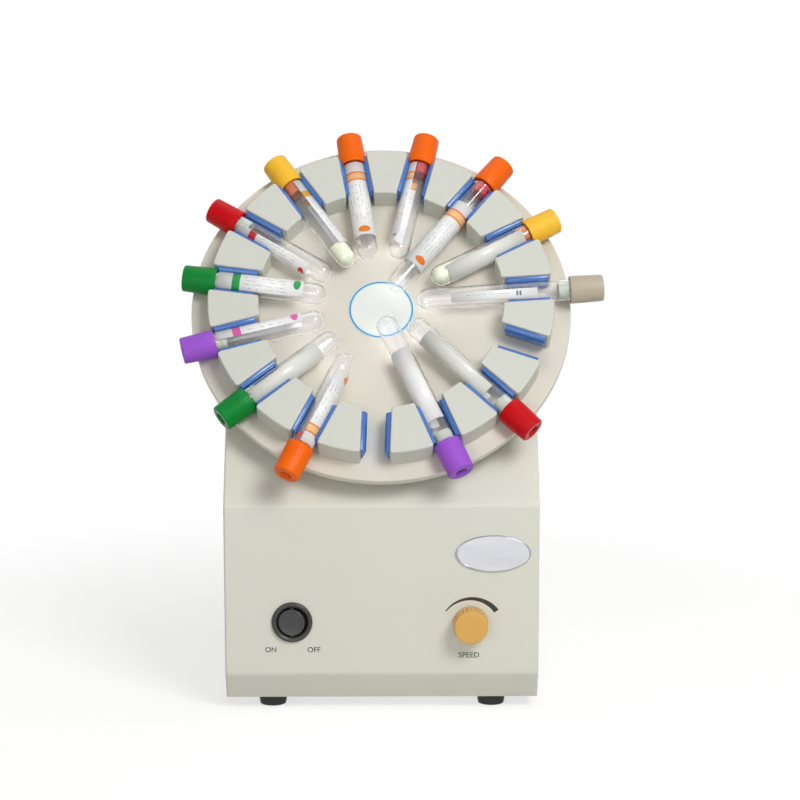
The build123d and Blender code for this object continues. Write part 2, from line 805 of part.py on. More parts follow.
def make_motor():
    with BuildPart() as motor:
        with BuildSketch(drive_plane.offset(gearbox_rear)):
            with Locations((0, -gearbox_offset)):
                Circle(motor_radius)
        extrude(amount=-motor_length)
        fillet(motor.edges().group_by(wheel_axis)[0], motor_edge)
        with BuildSketch(drive_plane.offset(gearbox_rear - motor_length)):
            with Locations((0, -gearbox_offset)):
                Circle(motor_bearing_radius)
        extrude(amount=-motor_bearing_depth)
        with BuildSketch(drive_plane.offset(gearbox_rear - motor_length)):
            with Locations((0, -gearbox_offset)):
                with GridLocations(motor_tab_pitch, 0, 2, 1):
                    Rectangle(tab_thickness, motor_tab_width)
        extrude(amount=-motor_tab_length)
    motor.part.label = "motor"
    export_step(motor.part, "parts/motor.step")


def make_switch_body():
    """A snap-in round switch: a bezel, a well for the rocker and a barrel with two terminals."""
    with BuildPart() as switch_body:
        with BuildSketch(panel_section(switch_place)):
            with BuildLine():
                Polyline(
                    (0, -switch_depth),
                    (switch_barrel_radius, -switch_depth),
                    (switch_barrel_radius, 0),
                    (switch_bezel_radius, 0),
                    (switch_bezel_radius, switch_bezel / 2),
                    (switch_bezel_radius - switch_bezel / 2, switch_bezel),
                    (well_radius, switch_bezel / 2),
                    (well_radius, -well_depth),
                    (0, -well_depth),
                    close=True,
                )
            make_face()
        revolve(axis=panel_axis(switch_place))
        pivot = panel_plane(switch_place, lift=-rocker_pivot_depth)
        with Locations(Plane(origin=pivot.origin, x_dir=(1, 0, 0), z_dir=(0, 0, 1))):
            Cylinder(
                pivot_radius + running_clearance,
                2 * (well_radius + pivot_reach + running_clearance),
                mode=Mode.SUBTRACT,
            )
        with BuildSketch(panel_plane(switch_place, lift=-switch_depth)):
            with GridLocations(switch_tab_pitch, 0, 2, 1):
                Rectangle(tab_thickness, tab_width)
        extrude(amount=-tab_length)
    switch_body.part.label = "switch_body"
    export_step(switch_body.part, "parts/switch_body.step")


def make_rocker():
    """The round rocker, pushed in at its left side, and its pivot pins."""
    pivot = panel_plane(switch_place, lift=-rocker_pivot_depth)
    tilt = radians(rocker_tilt)
    facing = Vector(-sin(tilt), -cos(tilt), 0)
    face_plane = Plane(origin=pivot.origin, x_dir=(cos(tilt), -sin(tilt), 0), z_dir=facing)
    with BuildPart() as rocker:
        with BuildSketch(face_plane.offset(-rocker_back)):
            Circle(rocker_radius)
        extrude(amount=rocker_back + rocker_pivot_depth + rocker_crown)
        chamfer(rocker.faces().sort_by(Axis(face_plane.origin, facing))[-1].edges(), rocker_edge)
        with Locations(Plane(origin=pivot.origin, x_dir=(1, 0, 0), z_dir=(0, 0, 1))):
            Cylinder(pivot_radius, 2 * (well_radius + pivot_reach))
    rocker.part.label = "rocker"
    export_step(rocker.part, "parts/rocker.step")


def make_speed_control():
    """The potentiometer behind the panel, with its threaded bushing through the panel."""
    bushing_front = nut_thickness + bushing_lead
    with BuildPart() as speed_control:
        with BuildSketch(panel_section(knob_place)):
            with BuildLine():
                Polyline(
                    (knob_shaft_radius + running_clearance, bushing_front),
                    (bushing_radius, bushing_front),
                    (bushing_radius, -wall),
                    (pot_radius, -wall),
                    (pot_radius, -wall - pot_depth),
                    (0, -wall - pot_depth),
                    (0, -wall - pot_shaft_depth),
                    (knob_shaft_radius + running_clearance, -wall - pot_shaft_depth),
                    close=True,
                )
            make_face()
        revolve(axis=panel_axis(knob_place))
        with BuildSketch(panel_plane(knob_place, lift=-wall - pot_tab_depth)):
            with Locations((0, -pot_radius)):
                with GridLocations(pot_tab_pitch, 0, 3, 1):
                    Rectangle(pot_tab_size[0], pot_tab_size[1])
        extrude(amount=-pot_tab_size[2])
    speed_control.part.label = "speed_control"
    export_step(speed_control.part, "parts/speed_control.step")


def make_control_nut():
    with BuildPart() as control_nut:
        with BuildSketch(panel_plane(knob_place)):
            RegularPolygon(nut_across_flats / 2, 6, major_radius=False)
            Circle(bushing_radius + press_gap, mode=Mode.SUBTRACT)
        extrude(amount=nut_thickness)
    control_nut.part.label = "control_nut"
    export_step(control_nut.part, "parts/control_nut.step")


def make_control_shaft():
    shaft_rear = end_gap - wall - pot_shaft_depth
    with BuildPart() as control_shaft:
        with BuildSketch(panel_plane(knob_place, lift=shaft_rear)):
            Circle(knob_shaft_radius)
        extrude(amount=knob_gap + knob_depth - knob_face - shaft_rear)
    control_shaft.part.label = "control_shaft"
    export_step(control_shaft.part, "parts/control_shaft.step")


def make_speed_knob():
    """A fluted knob, hollow behind, which hides the nut."""
    hollow_radius = nut_across_flats / 2 + nut_room
    with BuildPart() as speed_knob:
        with BuildSketch(panel_plane(knob_place, lift=knob_gap)):
            Circle(knob_radius)
        extrude(amount=knob_depth)
        chamfer(speed_knob.faces().sort_by(Axis.Y)[0].edges(), knob_edge)
        with BuildSketch(panel_plane(knob_place, lift=knob_gap)):
            with PolarLocations(knob_radius, knob_flutes):
                RegularPolygon(knob_flute_radius, 4)
        extrude(amount=knob_depth - knob_flute_end, mode=Mode.SUBTRACT)
        with BuildSketch(panel_plane(knob_place, lift=knob_gap)):
            Circle(hollow_radius)
        extrude(amount=nut_thickness + bushing_lead, mode=Mode.SUBTRACT)
        with BuildSketch(panel_plane(knob_place, lift=knob_gap)):
            Circle(knob_shaft_radius + press_gap)
        extrude(amount=knob_depth - knob_face + press_gap, mode=Mode.SUBTRACT)
    speed_knob.part.label = "speed_knob"
    export_step(speed_knob.part, "parts/speed_knob.step")


def make_badge():
    """A blank oval plate with a sloping rim."""
    with BuildPart() as badge:
        with BuildSketch(panel_plane(badge_place)):
            Ellipse(badge_width / 2, badge_height / 2)
        extrude(amount=badge_thickness)
        chamfer(badge.faces().sort_by(Axis.Y)[0].edges(), badge_slope)
    badge.part.label = "badge"
    export_step(badge.part, "parts/badge.step")


def make_control_board():
    """The motor's speed controller: a circuit board with a transformer, a capacitor and a heat sink."""
    board_top = Plane(origin=(board_place[0], board_place[1], board_bottom + board_thickness))
    with BuildPart() as control_board:
        with BuildSketch(Plane(origin=(board_place[0], board_place[1], board_bottom))):
            Rectangle(board_width, board_depth)
            with GridLocations(*board_hole_spread, 2, 2):
                Circle(screw_radius + screw_gap, mode=Mode.SUBTRACT)
        extrude(amount=board_thickness)
        with BuildSketch(board_top):
            with Locations(transformer_place):
                Rectangle(transformer_size[0], transformer_size[1])
        extrude(amount=transformer_size[2])
        with BuildSketch(board_top):
            with Locations(capacitor_place):
                Circle(capacitor_radius)
        extrude(amount=capacitor_height)
        with BuildSketch(board_top):
            with Locations(sink_place):
                with GridLocations(sink_fin_pitch, 0, sink_fins, 1):
                    Rectangle(sink_fin, sink_length)
                Rectangle((sink_fins - 1) * sink_fin_pitch + sink_fin, sink_web)
        extrude(amount=sink_height)
    control_board.part.label = "control_board"
    export_step(control_board.part, "parts/control_board.step")


def make_board_standoffs():
    """Moulded standoffs that carry the board, each with a pin that snaps through it."""
    with BuildPart() as board_standoffs:
        with BuildSketch(Plane(origin=(board_place[0], board_place[1], sheet))):
            with GridLocations(*board_hole_spread, 2, 2):
                Circle(board_standoff_radius)
        extrude(amount=board_lift)
        with BuildSketch(Plane(origin=(board_place[0], board_place[1], board_bottom))):
            with GridLocations(*board_hole_spread, 2, 2):
                Circle(screw_radius)
        extrude(amount=board_thickness + board_snap)
    board_standoffs.part.label = "board_standoffs"
    export_step(board_standoffs.part, "parts/board_standoffs.step")


def make_power_inlet():
    """A snap-in mains inlet in the rear panel, with three flat pins in its mouth."""
    back = Plane(origin=(inlet_place[0], rear_y, inlet_place[1]), x_dir=(-1, 0, 0), z_dir=(0, 1, 0))
    with BuildPart() as power_inlet:
        with BuildSketch(back):
            RectangleRounded(
                inlet_width + 2 * inlet_flange_lip,
                inlet_height + 2 * inlet_flange_lip,
                inlet_corner,
            )
        extrude(amount=inlet_flange)
        with BuildSketch(back):
            Rectangle(inlet_width - 2 * sheet_gap, inlet_height - 2 * sheet_gap)
        extrude(amount=inlet_flange - inlet_depth)
        with BuildSketch(back.offset(inlet_flange)) as mouth:
            Rectangle(inlet_mouth_width, inlet_mouth_height)
            chamfer(mouth.vertices().group_by(Axis.Y)[0], inlet_mouth_chamfer)
        extrude(amount=-inlet_mouth_depth, mode=Mode.SUBTRACT)
        with BuildSketch(back.offset(inlet_flange - inlet_mouth_depth)):
            with Locations((0, inlet_pin_rise)):
                Rectangle(*inlet_pin_size)
            with Locations((0, -inlet_pin_rise)):
                with GridLocations(inlet_pin_pitch, 0, 2, 1):
                    Rectangle(*inlet_pin_size)
        extrude(amount=inlet_pin_length)
        with BuildSketch(back.offset(inlet_flange - inlet_depth)):
            with GridLocations(inlet_tab_pitch, 0, 3, 1):
                Rectangle(tab_width, tab_thickness)
        extrude(amount=-tab_length)
    power_inlet.part.label = "power_inlet"
    export_step(power_inlet.part, "parts/power_inlet.step")


def make_tube(slot, length, reach, sideways):
    """A round-bottomed tube. Its section is drawn in the tube's own plane, x outwards from the wheel."""
    place = tube_plane(slot, sideways)
    mouth = reach - tube_pivot_radius - cap_overhang
    bottom = mouth - length
    inside = tube_radius - tube_wall
    round_centre = (bottom + tube_radius, 0)
    with BuildPart() as tube:
        with BuildSketch(place):
            with BuildLine():
                Polyline(
                    (bottom + tube_radius, tube_radius),
                    (mouth, tube_radius),
                    (mouth, inside),
                    (bottom + tube_radius, inside),
                )
                CenterArc(round_centre, inside, 90, 90)
                Line((bottom + tube_wall, 0), (bottom, 0))
                CenterArc(round_centre, tube_radius, 90, 90)
            make_face()
        revolve(axis=Axis(place.origin, place.x_dir))
    name = f"tube_{slot}"
    tube.part.label = name
    export_step(tube.part, f"parts/{name}.step")


def make_cap(slot, reach, sideways):
    """A cap over the tube's mouth, with its stopper inside the tube and a well in its outer end."""
    place = tube_plane(slot, sideways)
    outer = reach - tube_pivot_radius
    mouth = outer - cap_overhang
    skirt_radius = tube_radius + cap_fit
    stopper_radius = tube_radius - tube_wall - cap_fit
    with BuildPart() as cap:
        with BuildSketch(place):
            with BuildLine():
                Polyline(
                    (outer - cap_length, skirt_radius),
                    (outer - cap_length, cap_radius),
                    (outer - cap_bevel_length, cap_radius),
                    (outer, cap_radius - cap_bevel),
                    (outer, cap_well_radius),
                    (outer - cap_well_depth, cap_well_radius - cap_well_draft),
                    (outer - cap_well_depth, 0),
                    (mouth - stopper_length, 0),
                    (mouth - stopper_length, stopper_radius),
                    (mouth + cap_fit, stopper_radius),
                    (mouth + cap_fit, skirt_radius),
                    close=True,
                )
            make_face()
        revolve(axis=Axis(place.origin, place.x_dir))
    name = f"cap_{slot}"
    cap.part.label = name
    export_step(cap.part, f"parts/{name}.step")


make_housing_shell()
make_base_plate()
make_rear_panel()
make_rubber_feet()
make_foot_screws()
make_case_screws()
make_turntable()
make_holder_blocks()
make_slot_grips()
make_block_screws()
make_centre_label()
make_hub()
make_hub_screws()
make_spindle()
make_bearing_housing()
make_spindle_bearings()
make_bearing_screws()
make_shaft_coupling()
make_gearbox_shaft()
make_motor_plate()
make_motor_pillars()
make_pillar_screws()
make_gearbox()
make_motor()
make_switch_body()
make_rocker()
make_speed_control()
make_control_nut()
make_control_shaft()
make_speed_knob()
make_badge()
make_control_board()
make_board_standoffs()
make_power_inlet()
for slot, length, reach, sideways in loaded_slots:
    make_tube(slot, length, reach, sideways)
    make_cap(slot, reach, sideways)
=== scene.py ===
import json
import math

import bmesh
import bpy
from mathutils import Matrix, Vector


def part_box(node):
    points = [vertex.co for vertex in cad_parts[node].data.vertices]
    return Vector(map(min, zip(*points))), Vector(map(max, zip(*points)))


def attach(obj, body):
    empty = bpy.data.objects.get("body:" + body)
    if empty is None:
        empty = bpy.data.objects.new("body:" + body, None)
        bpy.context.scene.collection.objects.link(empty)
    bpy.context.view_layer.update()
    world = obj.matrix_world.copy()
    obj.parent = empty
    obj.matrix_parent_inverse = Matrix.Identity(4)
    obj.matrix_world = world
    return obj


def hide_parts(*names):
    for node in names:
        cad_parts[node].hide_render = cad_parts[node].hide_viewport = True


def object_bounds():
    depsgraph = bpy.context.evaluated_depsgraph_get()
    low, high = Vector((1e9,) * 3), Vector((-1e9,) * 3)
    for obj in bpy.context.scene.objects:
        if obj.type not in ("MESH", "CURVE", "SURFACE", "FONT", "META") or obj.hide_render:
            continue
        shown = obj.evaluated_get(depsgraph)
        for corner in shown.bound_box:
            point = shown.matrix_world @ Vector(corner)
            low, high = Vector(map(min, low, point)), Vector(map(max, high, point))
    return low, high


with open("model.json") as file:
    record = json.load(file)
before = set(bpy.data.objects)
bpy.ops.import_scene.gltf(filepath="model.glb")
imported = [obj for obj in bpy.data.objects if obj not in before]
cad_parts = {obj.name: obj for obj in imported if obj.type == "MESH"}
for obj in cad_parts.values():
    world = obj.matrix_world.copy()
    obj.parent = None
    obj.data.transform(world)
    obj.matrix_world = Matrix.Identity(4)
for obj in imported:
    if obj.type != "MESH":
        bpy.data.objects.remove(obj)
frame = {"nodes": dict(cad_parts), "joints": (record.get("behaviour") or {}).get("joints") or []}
cadLow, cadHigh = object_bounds()

joints = {joint["name"]: joint for joint in frame["joints"]}
tubeNumbers = sorted(name[5:7] for name in frame["nodes"] if name.startswith("tube_"))
print("frame loaded with", len(frame["nodes"]), "nodes and", len(tubeNumbers), "tubes")


# ---- places, all worked out from the frame, in metres

def planeMatrix(origin, across, facing):
    # x runs across, z faces out of the plane
    up = facing.cross(across).normalized()
    across = up.cross(facing).normalized()
    columns = Matrix((across, up, facing.normalized())).transposed().to_4x4()
    return Matrix.Translation(origin) @ columns


def nodeSpan(node, origin, direction):
    # where a CAD node starts and ends along a direction
    along = [(vertex.co - origin).dot(direction) for vertex in frame["nodes"][node].data.vertices]
    return min(along), max(along)


wheel = {
    "restTurn": math.radians(-2.0),
    "slots": 15,
    "firstSlot": math.radians(102.0),
    "gripRadius": 0.0875,
    "tubePivot": 0.0995,
    "tubeHeight": 0.0095,
}
wheelAxis = Vector(joints["wheel_spin"]["axis"]).normalized()
wheelCentre = Vector(joints["wheel_spin"]["pos_m"])
across = Vector((1, 0, 0))
upSlope = wheelAxis.cross(across)
wheelAcross = across * math.cos(wheel["restTurn"]) + upSlope * math.sin(wheel["restTurn"])
wheelPlace = planeMatrix(wheelCentre, wheelAcross, wheelAxis)
slotPitch = math.tau / wheel["slots"]

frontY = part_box("housing_shell")[0].y
towardsUser = Vector((0, -1, 0))


def slotAngle(slot):
    return wheel["firstSlot"] - slotPitch * (slot - 1)


def tubePlace(number):
    # z runs outwards along the tube, x faces away from the wheel
    outwards = Vector(joints[f"tube_{number}_slide"]["axis"]).normalized()
    angle = slotAngle(int(number))
    reach = wheel["tubePivot"]
    onDisc = Vector((math.cos(angle) * reach, math.sin(angle) * reach, wheel["tubeHeight"]))
    return planeMatrix(wheelPlace @ onDisc, wheelAxis, outwards)


def panelPlace(x, z, lift=0.0):
    return planeMatrix(Vector((x, frontY - lift, z)), across, towardsUser)


def nodeMiddle(node):
    low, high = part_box(node)
    return (low + high) / 2


# ---- mesh helpers

def addPiece(bm, name, material, body, place=None, sharp=35.0, bevelled=False):
    # turns a bmesh into a finished piece that rides on a body
    bmesh.ops.remove_doubles(bm, verts=bm.verts, dist=1e-6)
    bmesh.ops.recalc_face_normals(bm, faces=bm.faces)
    if place is not None:
        bm.transform(place)
    for face in bm.faces:
        face.smooth = True
    for edge in bm.edges:
        edge.smooth = edge.calc_face_angle(0.0) < math.radians(sharp)
    mesh = bpy.data.meshes.new(name)
    bm.to_mesh(mesh)
    bm.free()
    piece = bpy.data.objects.new(name, mesh)
    bpy.context.scene.collection.objects.link(piece)
    mesh.materials.append(material)
    if bevelled:
        weighted = piece.modifiers.new("flatFaces", "WEIGHTED_NORMAL")
        weighted.keep_sharp = True
    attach(piece, body)
    return piece


def spinProfile(bm, profile, steps=48, closed=False):
    # turns (radius, height) points about the z axis
    verts = [bm.verts.new((radius, 0, height)) for radius, height in profile]
    edges = [bm.edges.new(pair) for pair in zip(verts, verts[1:])]
    if closed:
        edges.append(bm.edges.new((verts[-1], verts[0])))
    bmesh.ops.spin(bm, geom=verts + edges, cent=(0, 0, 0), axis=(0, 0, 1), angle=math.tau,
                   steps=steps, use_merge=True)
    bmesh.ops.remove_doubles(bm, verts=bm.verts, dist=1e-7)


def arcPoints(centre, radius, start, end, steps):
    # points of a round corner in a profile, angles in degrees
    points = []
    for step in range(steps + 1):
        angle = math.radians(start + (end - start) * step / steps)
        points.append((centre[0] + radius * math.cos(angle), centre[1] + radius * math.sin(angle)))
    return points


def bevelEdges(bm, edges, width, segments=3):
    return bmesh.ops.bevel(bm, geom=edges, offset=width, offset_type="OFFSET", affect="EDGES",
                           segments=segments, profile=0.5, material=-1, clamp_overlap=True)


def addBox(bm, low, high):
    made = bmesh.ops.create_cube(bm, size=1.0)["verts"]
    size = [b - a for a, b in zip(low, high)]
    bmesh.ops.scale(bm, vec=size, verts=made)
    bmesh.ops.translate(bm, vec=[(a + b) / 2 for a, b in zip(low, high)], verts=made)
    return made


def addRod(bm, radius, bottom, top, segments=32, place=None):
    made = bmesh.ops.create_cone(bm, cap_ends=True, segments=segments, radius1=radius,
                                 radius2=radius, depth=top - bottom)["verts"]
    bmesh.ops.translate(bm, vec=(0, 0, (top + bottom) / 2), verts=made)
    if place is not None:
        bmesh.ops.transform(bm, matrix=place, verts=made)
    return made


def cutAway(piece, cutterMesh, name="cut"):
    # takes a bmesh's space out of a piece and keeps the result
    mesh = bpy.data.meshes.new(name)
    bmesh.ops.recalc_face_normals(cutterMesh, faces=cutterMesh.faces)
    cutterMesh.to_mesh(mesh)
    cutterMesh.free()
    cutter = bpy.data.objects.new(name, mesh)
    bpy.context.scene.collection.objects.link(cutter)
    cut = piece.modifiers.new(name, "BOOLEAN")
    cut.operation = "DIFFERENCE"
    cut.solver = "EXACT"
    cut.object = cutter
    graph = bpy.context.evaluated_depsgraph_get()
    result = bpy.data.meshes.new_from_object(piece.evaluated_get(graph))
    piece.modifiers.remove(cut)
    old = piece.data
    piece.data = result
    bpy.data.meshes.remove(old)
    bpy.data.objects.remove(cutter)
    bpy.data.meshes.remove(mesh)


def markSharp(piece, sharp=35.0):
    bm = bmesh.new()
    bm.from_mesh(piece.data)
    bmesh.ops.remove_doubles(bm, verts=bm.verts, dist=1e-6)
    for face in bm.faces:
        face.smooth = True
    for edge in bm.edges:
        edge.smooth = edge.calc_face_angle(0.0) < math.radians(sharp)
    bm.to_mesh(piece.data)
    bm.free()


# ---- materials

def linear(code):
    # an sRGB hex colour as Blender's linear values
    parts = [int(code[i:i + 2], 16) / 255 for i in (0, 2, 4)]
    return [p / 12.92 if p <= 0.04045 else ((p + 0.055) / 1.055) ** 2.4 for p in parts] + [1.0]


def newMaterial(name):
    material = bpy.data.materials.new(name)
    material.use_nodes = True
    return material, material.node_tree, material.node_tree.nodes["Principled BSDF"]


def addNode(tree, kind, inputs=None, **settings):
    node = tree.nodes.new(kind)
    for key, value in settings.items():
        setattr(node, key, value)
    for key, value in (inputs or {}).items():
        if isinstance(value, bpy.types.NodeSocket):
            tree.links.new(value, node.inputs[key])
        else:
            node.inputs[key].default_value = value
    return node


def maths(tree, operation, first, second=0.0):
    return addNode(tree, "ShaderNodeMath", {0: first, 1: second}, operation=operation).outputs[0]


def mixColours(tree, share, first, second):
    node = addNode(tree, "ShaderNodeMix", {"Factor": share}, data_type="RGBA")
    for index, value in ((6, first), (7, second)):
        if isinstance(value, bpy.types.NodeSocket):
            tree.links.new(value, node.inputs[index])
        else:
            node.inputs[index].default_value = value
    return node.outputs[2]


def noiseOf(tree, scale, detail=3.0, stretch=(1, 1, 1), roughness=0.5):
    coords = addNode(tree, "ShaderNodeTexCoord").outputs["Object"]
    place = addNode(tree, "ShaderNodeMapping", {"Vector": coords, "Scale": stretch})
    return addNode(tree, "ShaderNodeTexNoise",
                   {"Vector": place.outputs[0], "Scale": scale, "Detail": detail,
                    "Roughness": roughness}).outputs["Fac"]


def setGloss(tree, shader, value, low, high):
    # roughness that follows a pattern between two amounts
    gloss = addNode(tree, "ShaderNodeMapRange", {"Value": value, "To Min": low, "To Max": high})
    tree.links.new(gloss.outputs[0], shader.inputs["Roughness"])


def finishOf(settings):
    # a moulded, painted or metal surface: cloudy colour, uneven gloss and a fine relief
    material, tree, shader = newMaterial(settings["name"])
    stretch = settings.get("stretch", (1, 1, 1))
    cloud = noiseOf(tree, settings["cloud"], 4.0, stretch)
    grain = noiseOf(tree, settings["grain"], 2.0, stretch)
    colour = mixColours(tree, cloud, linear(settings["dark"]), linear(settings["light"]))
    tree.links.new(colour, shader.inputs["Base Color"])
    setGloss(tree, shader, grain, *settings["gloss"])
    relief = addNode(tree, "ShaderNodeBump",
                     {"Height": grain, "Strength": settings["relief"], "Distance": settings["depth"]})
    tree.links.new(relief.outputs[0], shader.inputs["Normal"])
    shader.inputs["Metallic"].default_value = settings.get("metal", 0.0)
    shader.inputs["Coat Weight"].default_value = settings.get("coat", 0.0)
    shader.inputs["Coat Roughness"].default_value = 0.15
    shader.inputs["Specular IOR Level"].default_value = settings.get("specular", 0.5)
    shader.inputs["Subsurface Weight"].default_value = settings.get("soft", 0.0)
    shader.inputs["Subsurface Scale"].default_value = 0.002
    return material


housingPaint = finishOf({"name": "housingPaint", "dark": "DADACD", "light": "E0E0D3", "cloud": 9,
                         "grain": 1100, "gloss": (0.38, 0.5), "relief": 0.12, "depth": 0.0002})
discPlastic = finishOf({"name": "discPlastic", "dark": "D6D1C4", "light": "DCD7CA", "cloud": 14,
                        "grain": 1500, "gloss": (0.36, 0.48), "relief": 0.1, "depth": 0.0002})
blockPlastic = finishOf({"name": "blockPlastic", "dark": "CCCDC3", "light": "D2D3C9", "cloud": 22,
                         "grain": 1600, "gloss": (0.4, 0.52), "relief": 0.1, "depth": 0.0002})
gripRubber = finishOf({"name": "gripRubber", "dark": "2E63AE", "light": "3D74BE", "cloud": 60,
                       "grain": 900, "gloss": (0.2, 0.32), "relief": 0.12, "depth": 0.0003,
                       "coat": 0.4})
footRubber = finishOf({"name": "footRubber", "dark": "151515", "light": "222220", "cloud": 60,
                       "grain": 1300, "gloss": (0.5, 0.7), "relief": 0.3, "depth": 0.0003})
blackPlastic = finishOf({"name": "blackPlastic", "dark": "2C2C28", "light": "373731", "cloud": 50,
                         "grain": 1500, "gloss": (0.26, 0.38), "relief": 0.12, "depth": 0.0002})
rockerPlastic = finishOf({"name": "rockerPlastic", "dark": "343436", "light": "3C3C3E", "cloud": 50,
                          "grain": 1500, "gloss": (0.3, 0.42), "relief": 0.12, "depth": 0.0002})
knobPlastic = finishOf({"name": "knobPlastic", "dark": "DBA74F", "light": "E4B25B", "cloud": 60,
                        "grain": 1300, "gloss": (0.34, 0.46), "relief": 0.1, "depth": 0.0002,
                        "soft": 0.08})
rubberColours = {
    "red": ("8E0E14", "9E141A"),
    "amber": ("A84E10", "B85C18"),
    "pale": ("949A8C", "A2A89A"),
    # near-black rubber for the disc at the floor of each cap's well: painted shade of the deep well
    "dark": ("380A0A", "461010"),
}
stopperRubbers = {}
for rubberName, (darkShade, lightShade) in rubberColours.items():
    stopperRubbers[rubberName] = finishOf({
        "name": rubberName + "Rubber", "dark": darkShade, "light": lightShade, "cloud": 70,
        "grain": 900, "gloss": (0.35, 0.5), "relief": 0.12, "depth": 0.0002, "specular": 0.3})
serumGel = finishOf({"name": "serumGel", "dark": "BCC0A6", "light": "C8CCB2", "cloud": 90,
                     "grain": 700, "gloss": (0.25, 0.35), "relief": 0.05, "depth": 0.0001,
                     "soft": 0.2})
badgeSilver = finishOf({"name": "badgeSilver", "dark": "C9CAD0", "light": "E4E5E9", "cloud": 30,
                        "grain": 700, "gloss": (0.2, 0.3), "relief": 0.05, "depth": 0.0001,
                        "metal": 0.55, "coat": 0.6, "stretch": (1, 1, 6)})
badgeFrame = finishOf({"name": "badgeFrame", "dark": "9C9DA3", "light": "B9BAC0", "cloud": 60,
                       "grain": 900, "gloss": (0.18, 0.28), "relief": 0.05, "depth": 0.0001,
                       "metal": 0.9})
labelWhite = finishOf({"name": "labelWhite", "dark": "E2E6E0", "light": "E8ECE6", "cloud": 40,
                       "grain": 1200, "gloss": (0.3, 0.4), "relief": 0.05, "depth": 0.0001,
                       "coat": 0.3})
ringInk = finishOf({"name": "ringInk", "dark": "2F79AE", "light": "3F8ABF", "cloud": 80,
                    "grain": 1500, "gloss": (0.3, 0.4), "relief": 0.05, "depth": 0.0001})
paleInk = finishOf({"name": "paleInk", "dark": "B4E0F0", "light": "C4EAF6", "cloud": 80,
                    "grain": 1500, "gloss": (0.3, 0.4), "relief": 0.05, "depth": 0.0001})
printInk = finishOf({"name": "printInk", "dark": "23251F", "light": "2E302A", "cloud": 200,
                     "grain": 1800, "gloss": (0.45, 0.6), "relief": 0.1, "depth": 0.0001})
zincSheet = finishOf({"name": "zincSheet", "dark": "A4A6A8", "light": "BBBCBD", "cloud": 35,
                      "grain": 260, "gloss": (0.3, 0.5), "relief": 0.08, "depth": 0.0002,
                      "metal": 0.9, "stretch": (1, 1, 3)})
turnedSteel = finishOf({"name": "turnedSteel", "dark": "8E9093", "light": "A6A8AA", "cloud": 60,
                        "grain": 900, "gloss": (0.22, 0.38), "relief": 0.1, "depth": 0.0001,
                        "metal": 1.0})
screwSteel = finishOf({"name": "screwSteel", "dark": "A9ABAD", "light": "BEC0C1", "cloud": 120,
                       "grain": 1200, "gloss": (0.24, 0.38), "relief": 0.1, "depth": 0.0001,
                       "metal": 1.0})
aluminium = finishOf({"name": "aluminium", "dark": "B4B6B8", "light": "C8CACB", "cloud": 45,
                      "grain": 800, "gloss": (0.3, 0.46), "relief": 0.14, "depth": 0.0002,
                      "metal": 1.0})
nylon = finishOf({"name": "nylon", "dark": "DCD8CA", "light": "E6E2D5", "cloud": 80,
                  "grain": 1300, "gloss": (0.38, 0.5), "relief": 0.1, "depth": 0.0001,
                  "soft": 0.1})
circuitBoard = finishOf({"name": "circuitBoard", "dark": "14502E", "light": "1D6B3C", "cloud": 260,
                         "grain": 900, "gloss": (0.3, 0.42), "relief": 0.2, "depth": 0.0001})

capColours = {
    "orange": ("F06000", "FC7000"),
    "yellow": ("F6BC2C", "FCC840"),
    "grey": ("B6AC98", "C4B9A6"),
    "red": ("C0000A", "D0000E"),
    "purple": ("9850CA", "A660D6"),
    "green": ("007A2C", "008A36"),
}
capPlastics = {}
for colourName, (darkShade, lightShade) in capColours.items():
    capPlastics[colourName] = finishOf({
        "name": colourName + "Cap", "dark": darkShade, "light": lightShade, "cloud": 70,
        "grain": 1100, "gloss": (0.26, 0.38), "relief": 0.1, "depth": 0.0002, "specular": 0.16})


def letLampsThrough(tree, shader, colour):
    # the shadow of a clear or thin piece takes this colour
    rays = addNode(tree, "ShaderNodeLightPath")
    through = addNode(tree, "ShaderNodeBsdfTransparent", {"Color": linear(colour)})
    both = addNode(tree, "ShaderNodeMixShader", {0: rays.outputs["Is Shadow Ray"],
                                                 1: shader.outputs[0], 2: through.outputs[0]})
    tree.links.new(both.outputs[0], tree.nodes["Material Output"].inputs["Surface"])


def makeClearPlastic():
    # the tubes' clear wall, slightly smeared
    material, tree, shader = newMaterial("clearPlastic")
    shader.inputs["Base Color"].default_value = linear("FDFDFF")
    shader.inputs["Transmission Weight"].default_value = 1.0
    shader.inputs["IOR"].default_value = 1.48
    smear = noiseOf(tree, 120, 3.0)
    setGloss(tree, shader, smear, 0.01, 0.06)
    relief = addNode(tree, "ShaderNodeBump", {"Height": smear, "Strength": 0.04, "Distance": 0.0002})
    tree.links.new(relief.outputs[0], shader.inputs["Normal"])
    letLampsThrough(tree, shader, "F4F4F4")
    return material


clearPlastic = makeClearPlastic()
print("materials made")

# ---- camera, light and floor

view = {
    "place": (0.00405, -1.49286, 0.42033),
    "pitchDown": 9.8,
    "turnRight": 0.28,
    "roll": -0.08,
    "lens": 110.4,
}


def addCamera():
    data = bpy.data.cameras.new("camera")
    data.lens = view["lens"]
    data.sensor_width = 36.0
    data.clip_start = 0.05
    camera = bpy.data.objects.new("camera", data)
    upright = Matrix.Rotation(math.radians(90 - view["pitchDown"]), 4, "X")
    turned = Matrix.Rotation(math.radians(-view["turnRight"]), 4, "Z")
    rolled = Matrix.Rotation(math.radians(view["roll"]), 4, "Z")
    camera.matrix_world = Matrix.Translation(view["place"]) @ turned @ upright @ rolled
    bpy.context.scene.collection.objects.link(camera)
    bpy.context.scene.camera = camera


lamps = {
    "key": {"place": (0.75, -1.3, 1.25), "size": (0.7, 0.7), "power": 18.0},
    "front": {"place": (-0.4, -1.7, 0.45), "size": (1.2, 0.8), "power": 5.6},
    "top": {"place": (0.1, 0.1, 1.7), "size": (1.2, 1.0), "power": 4.0},
}


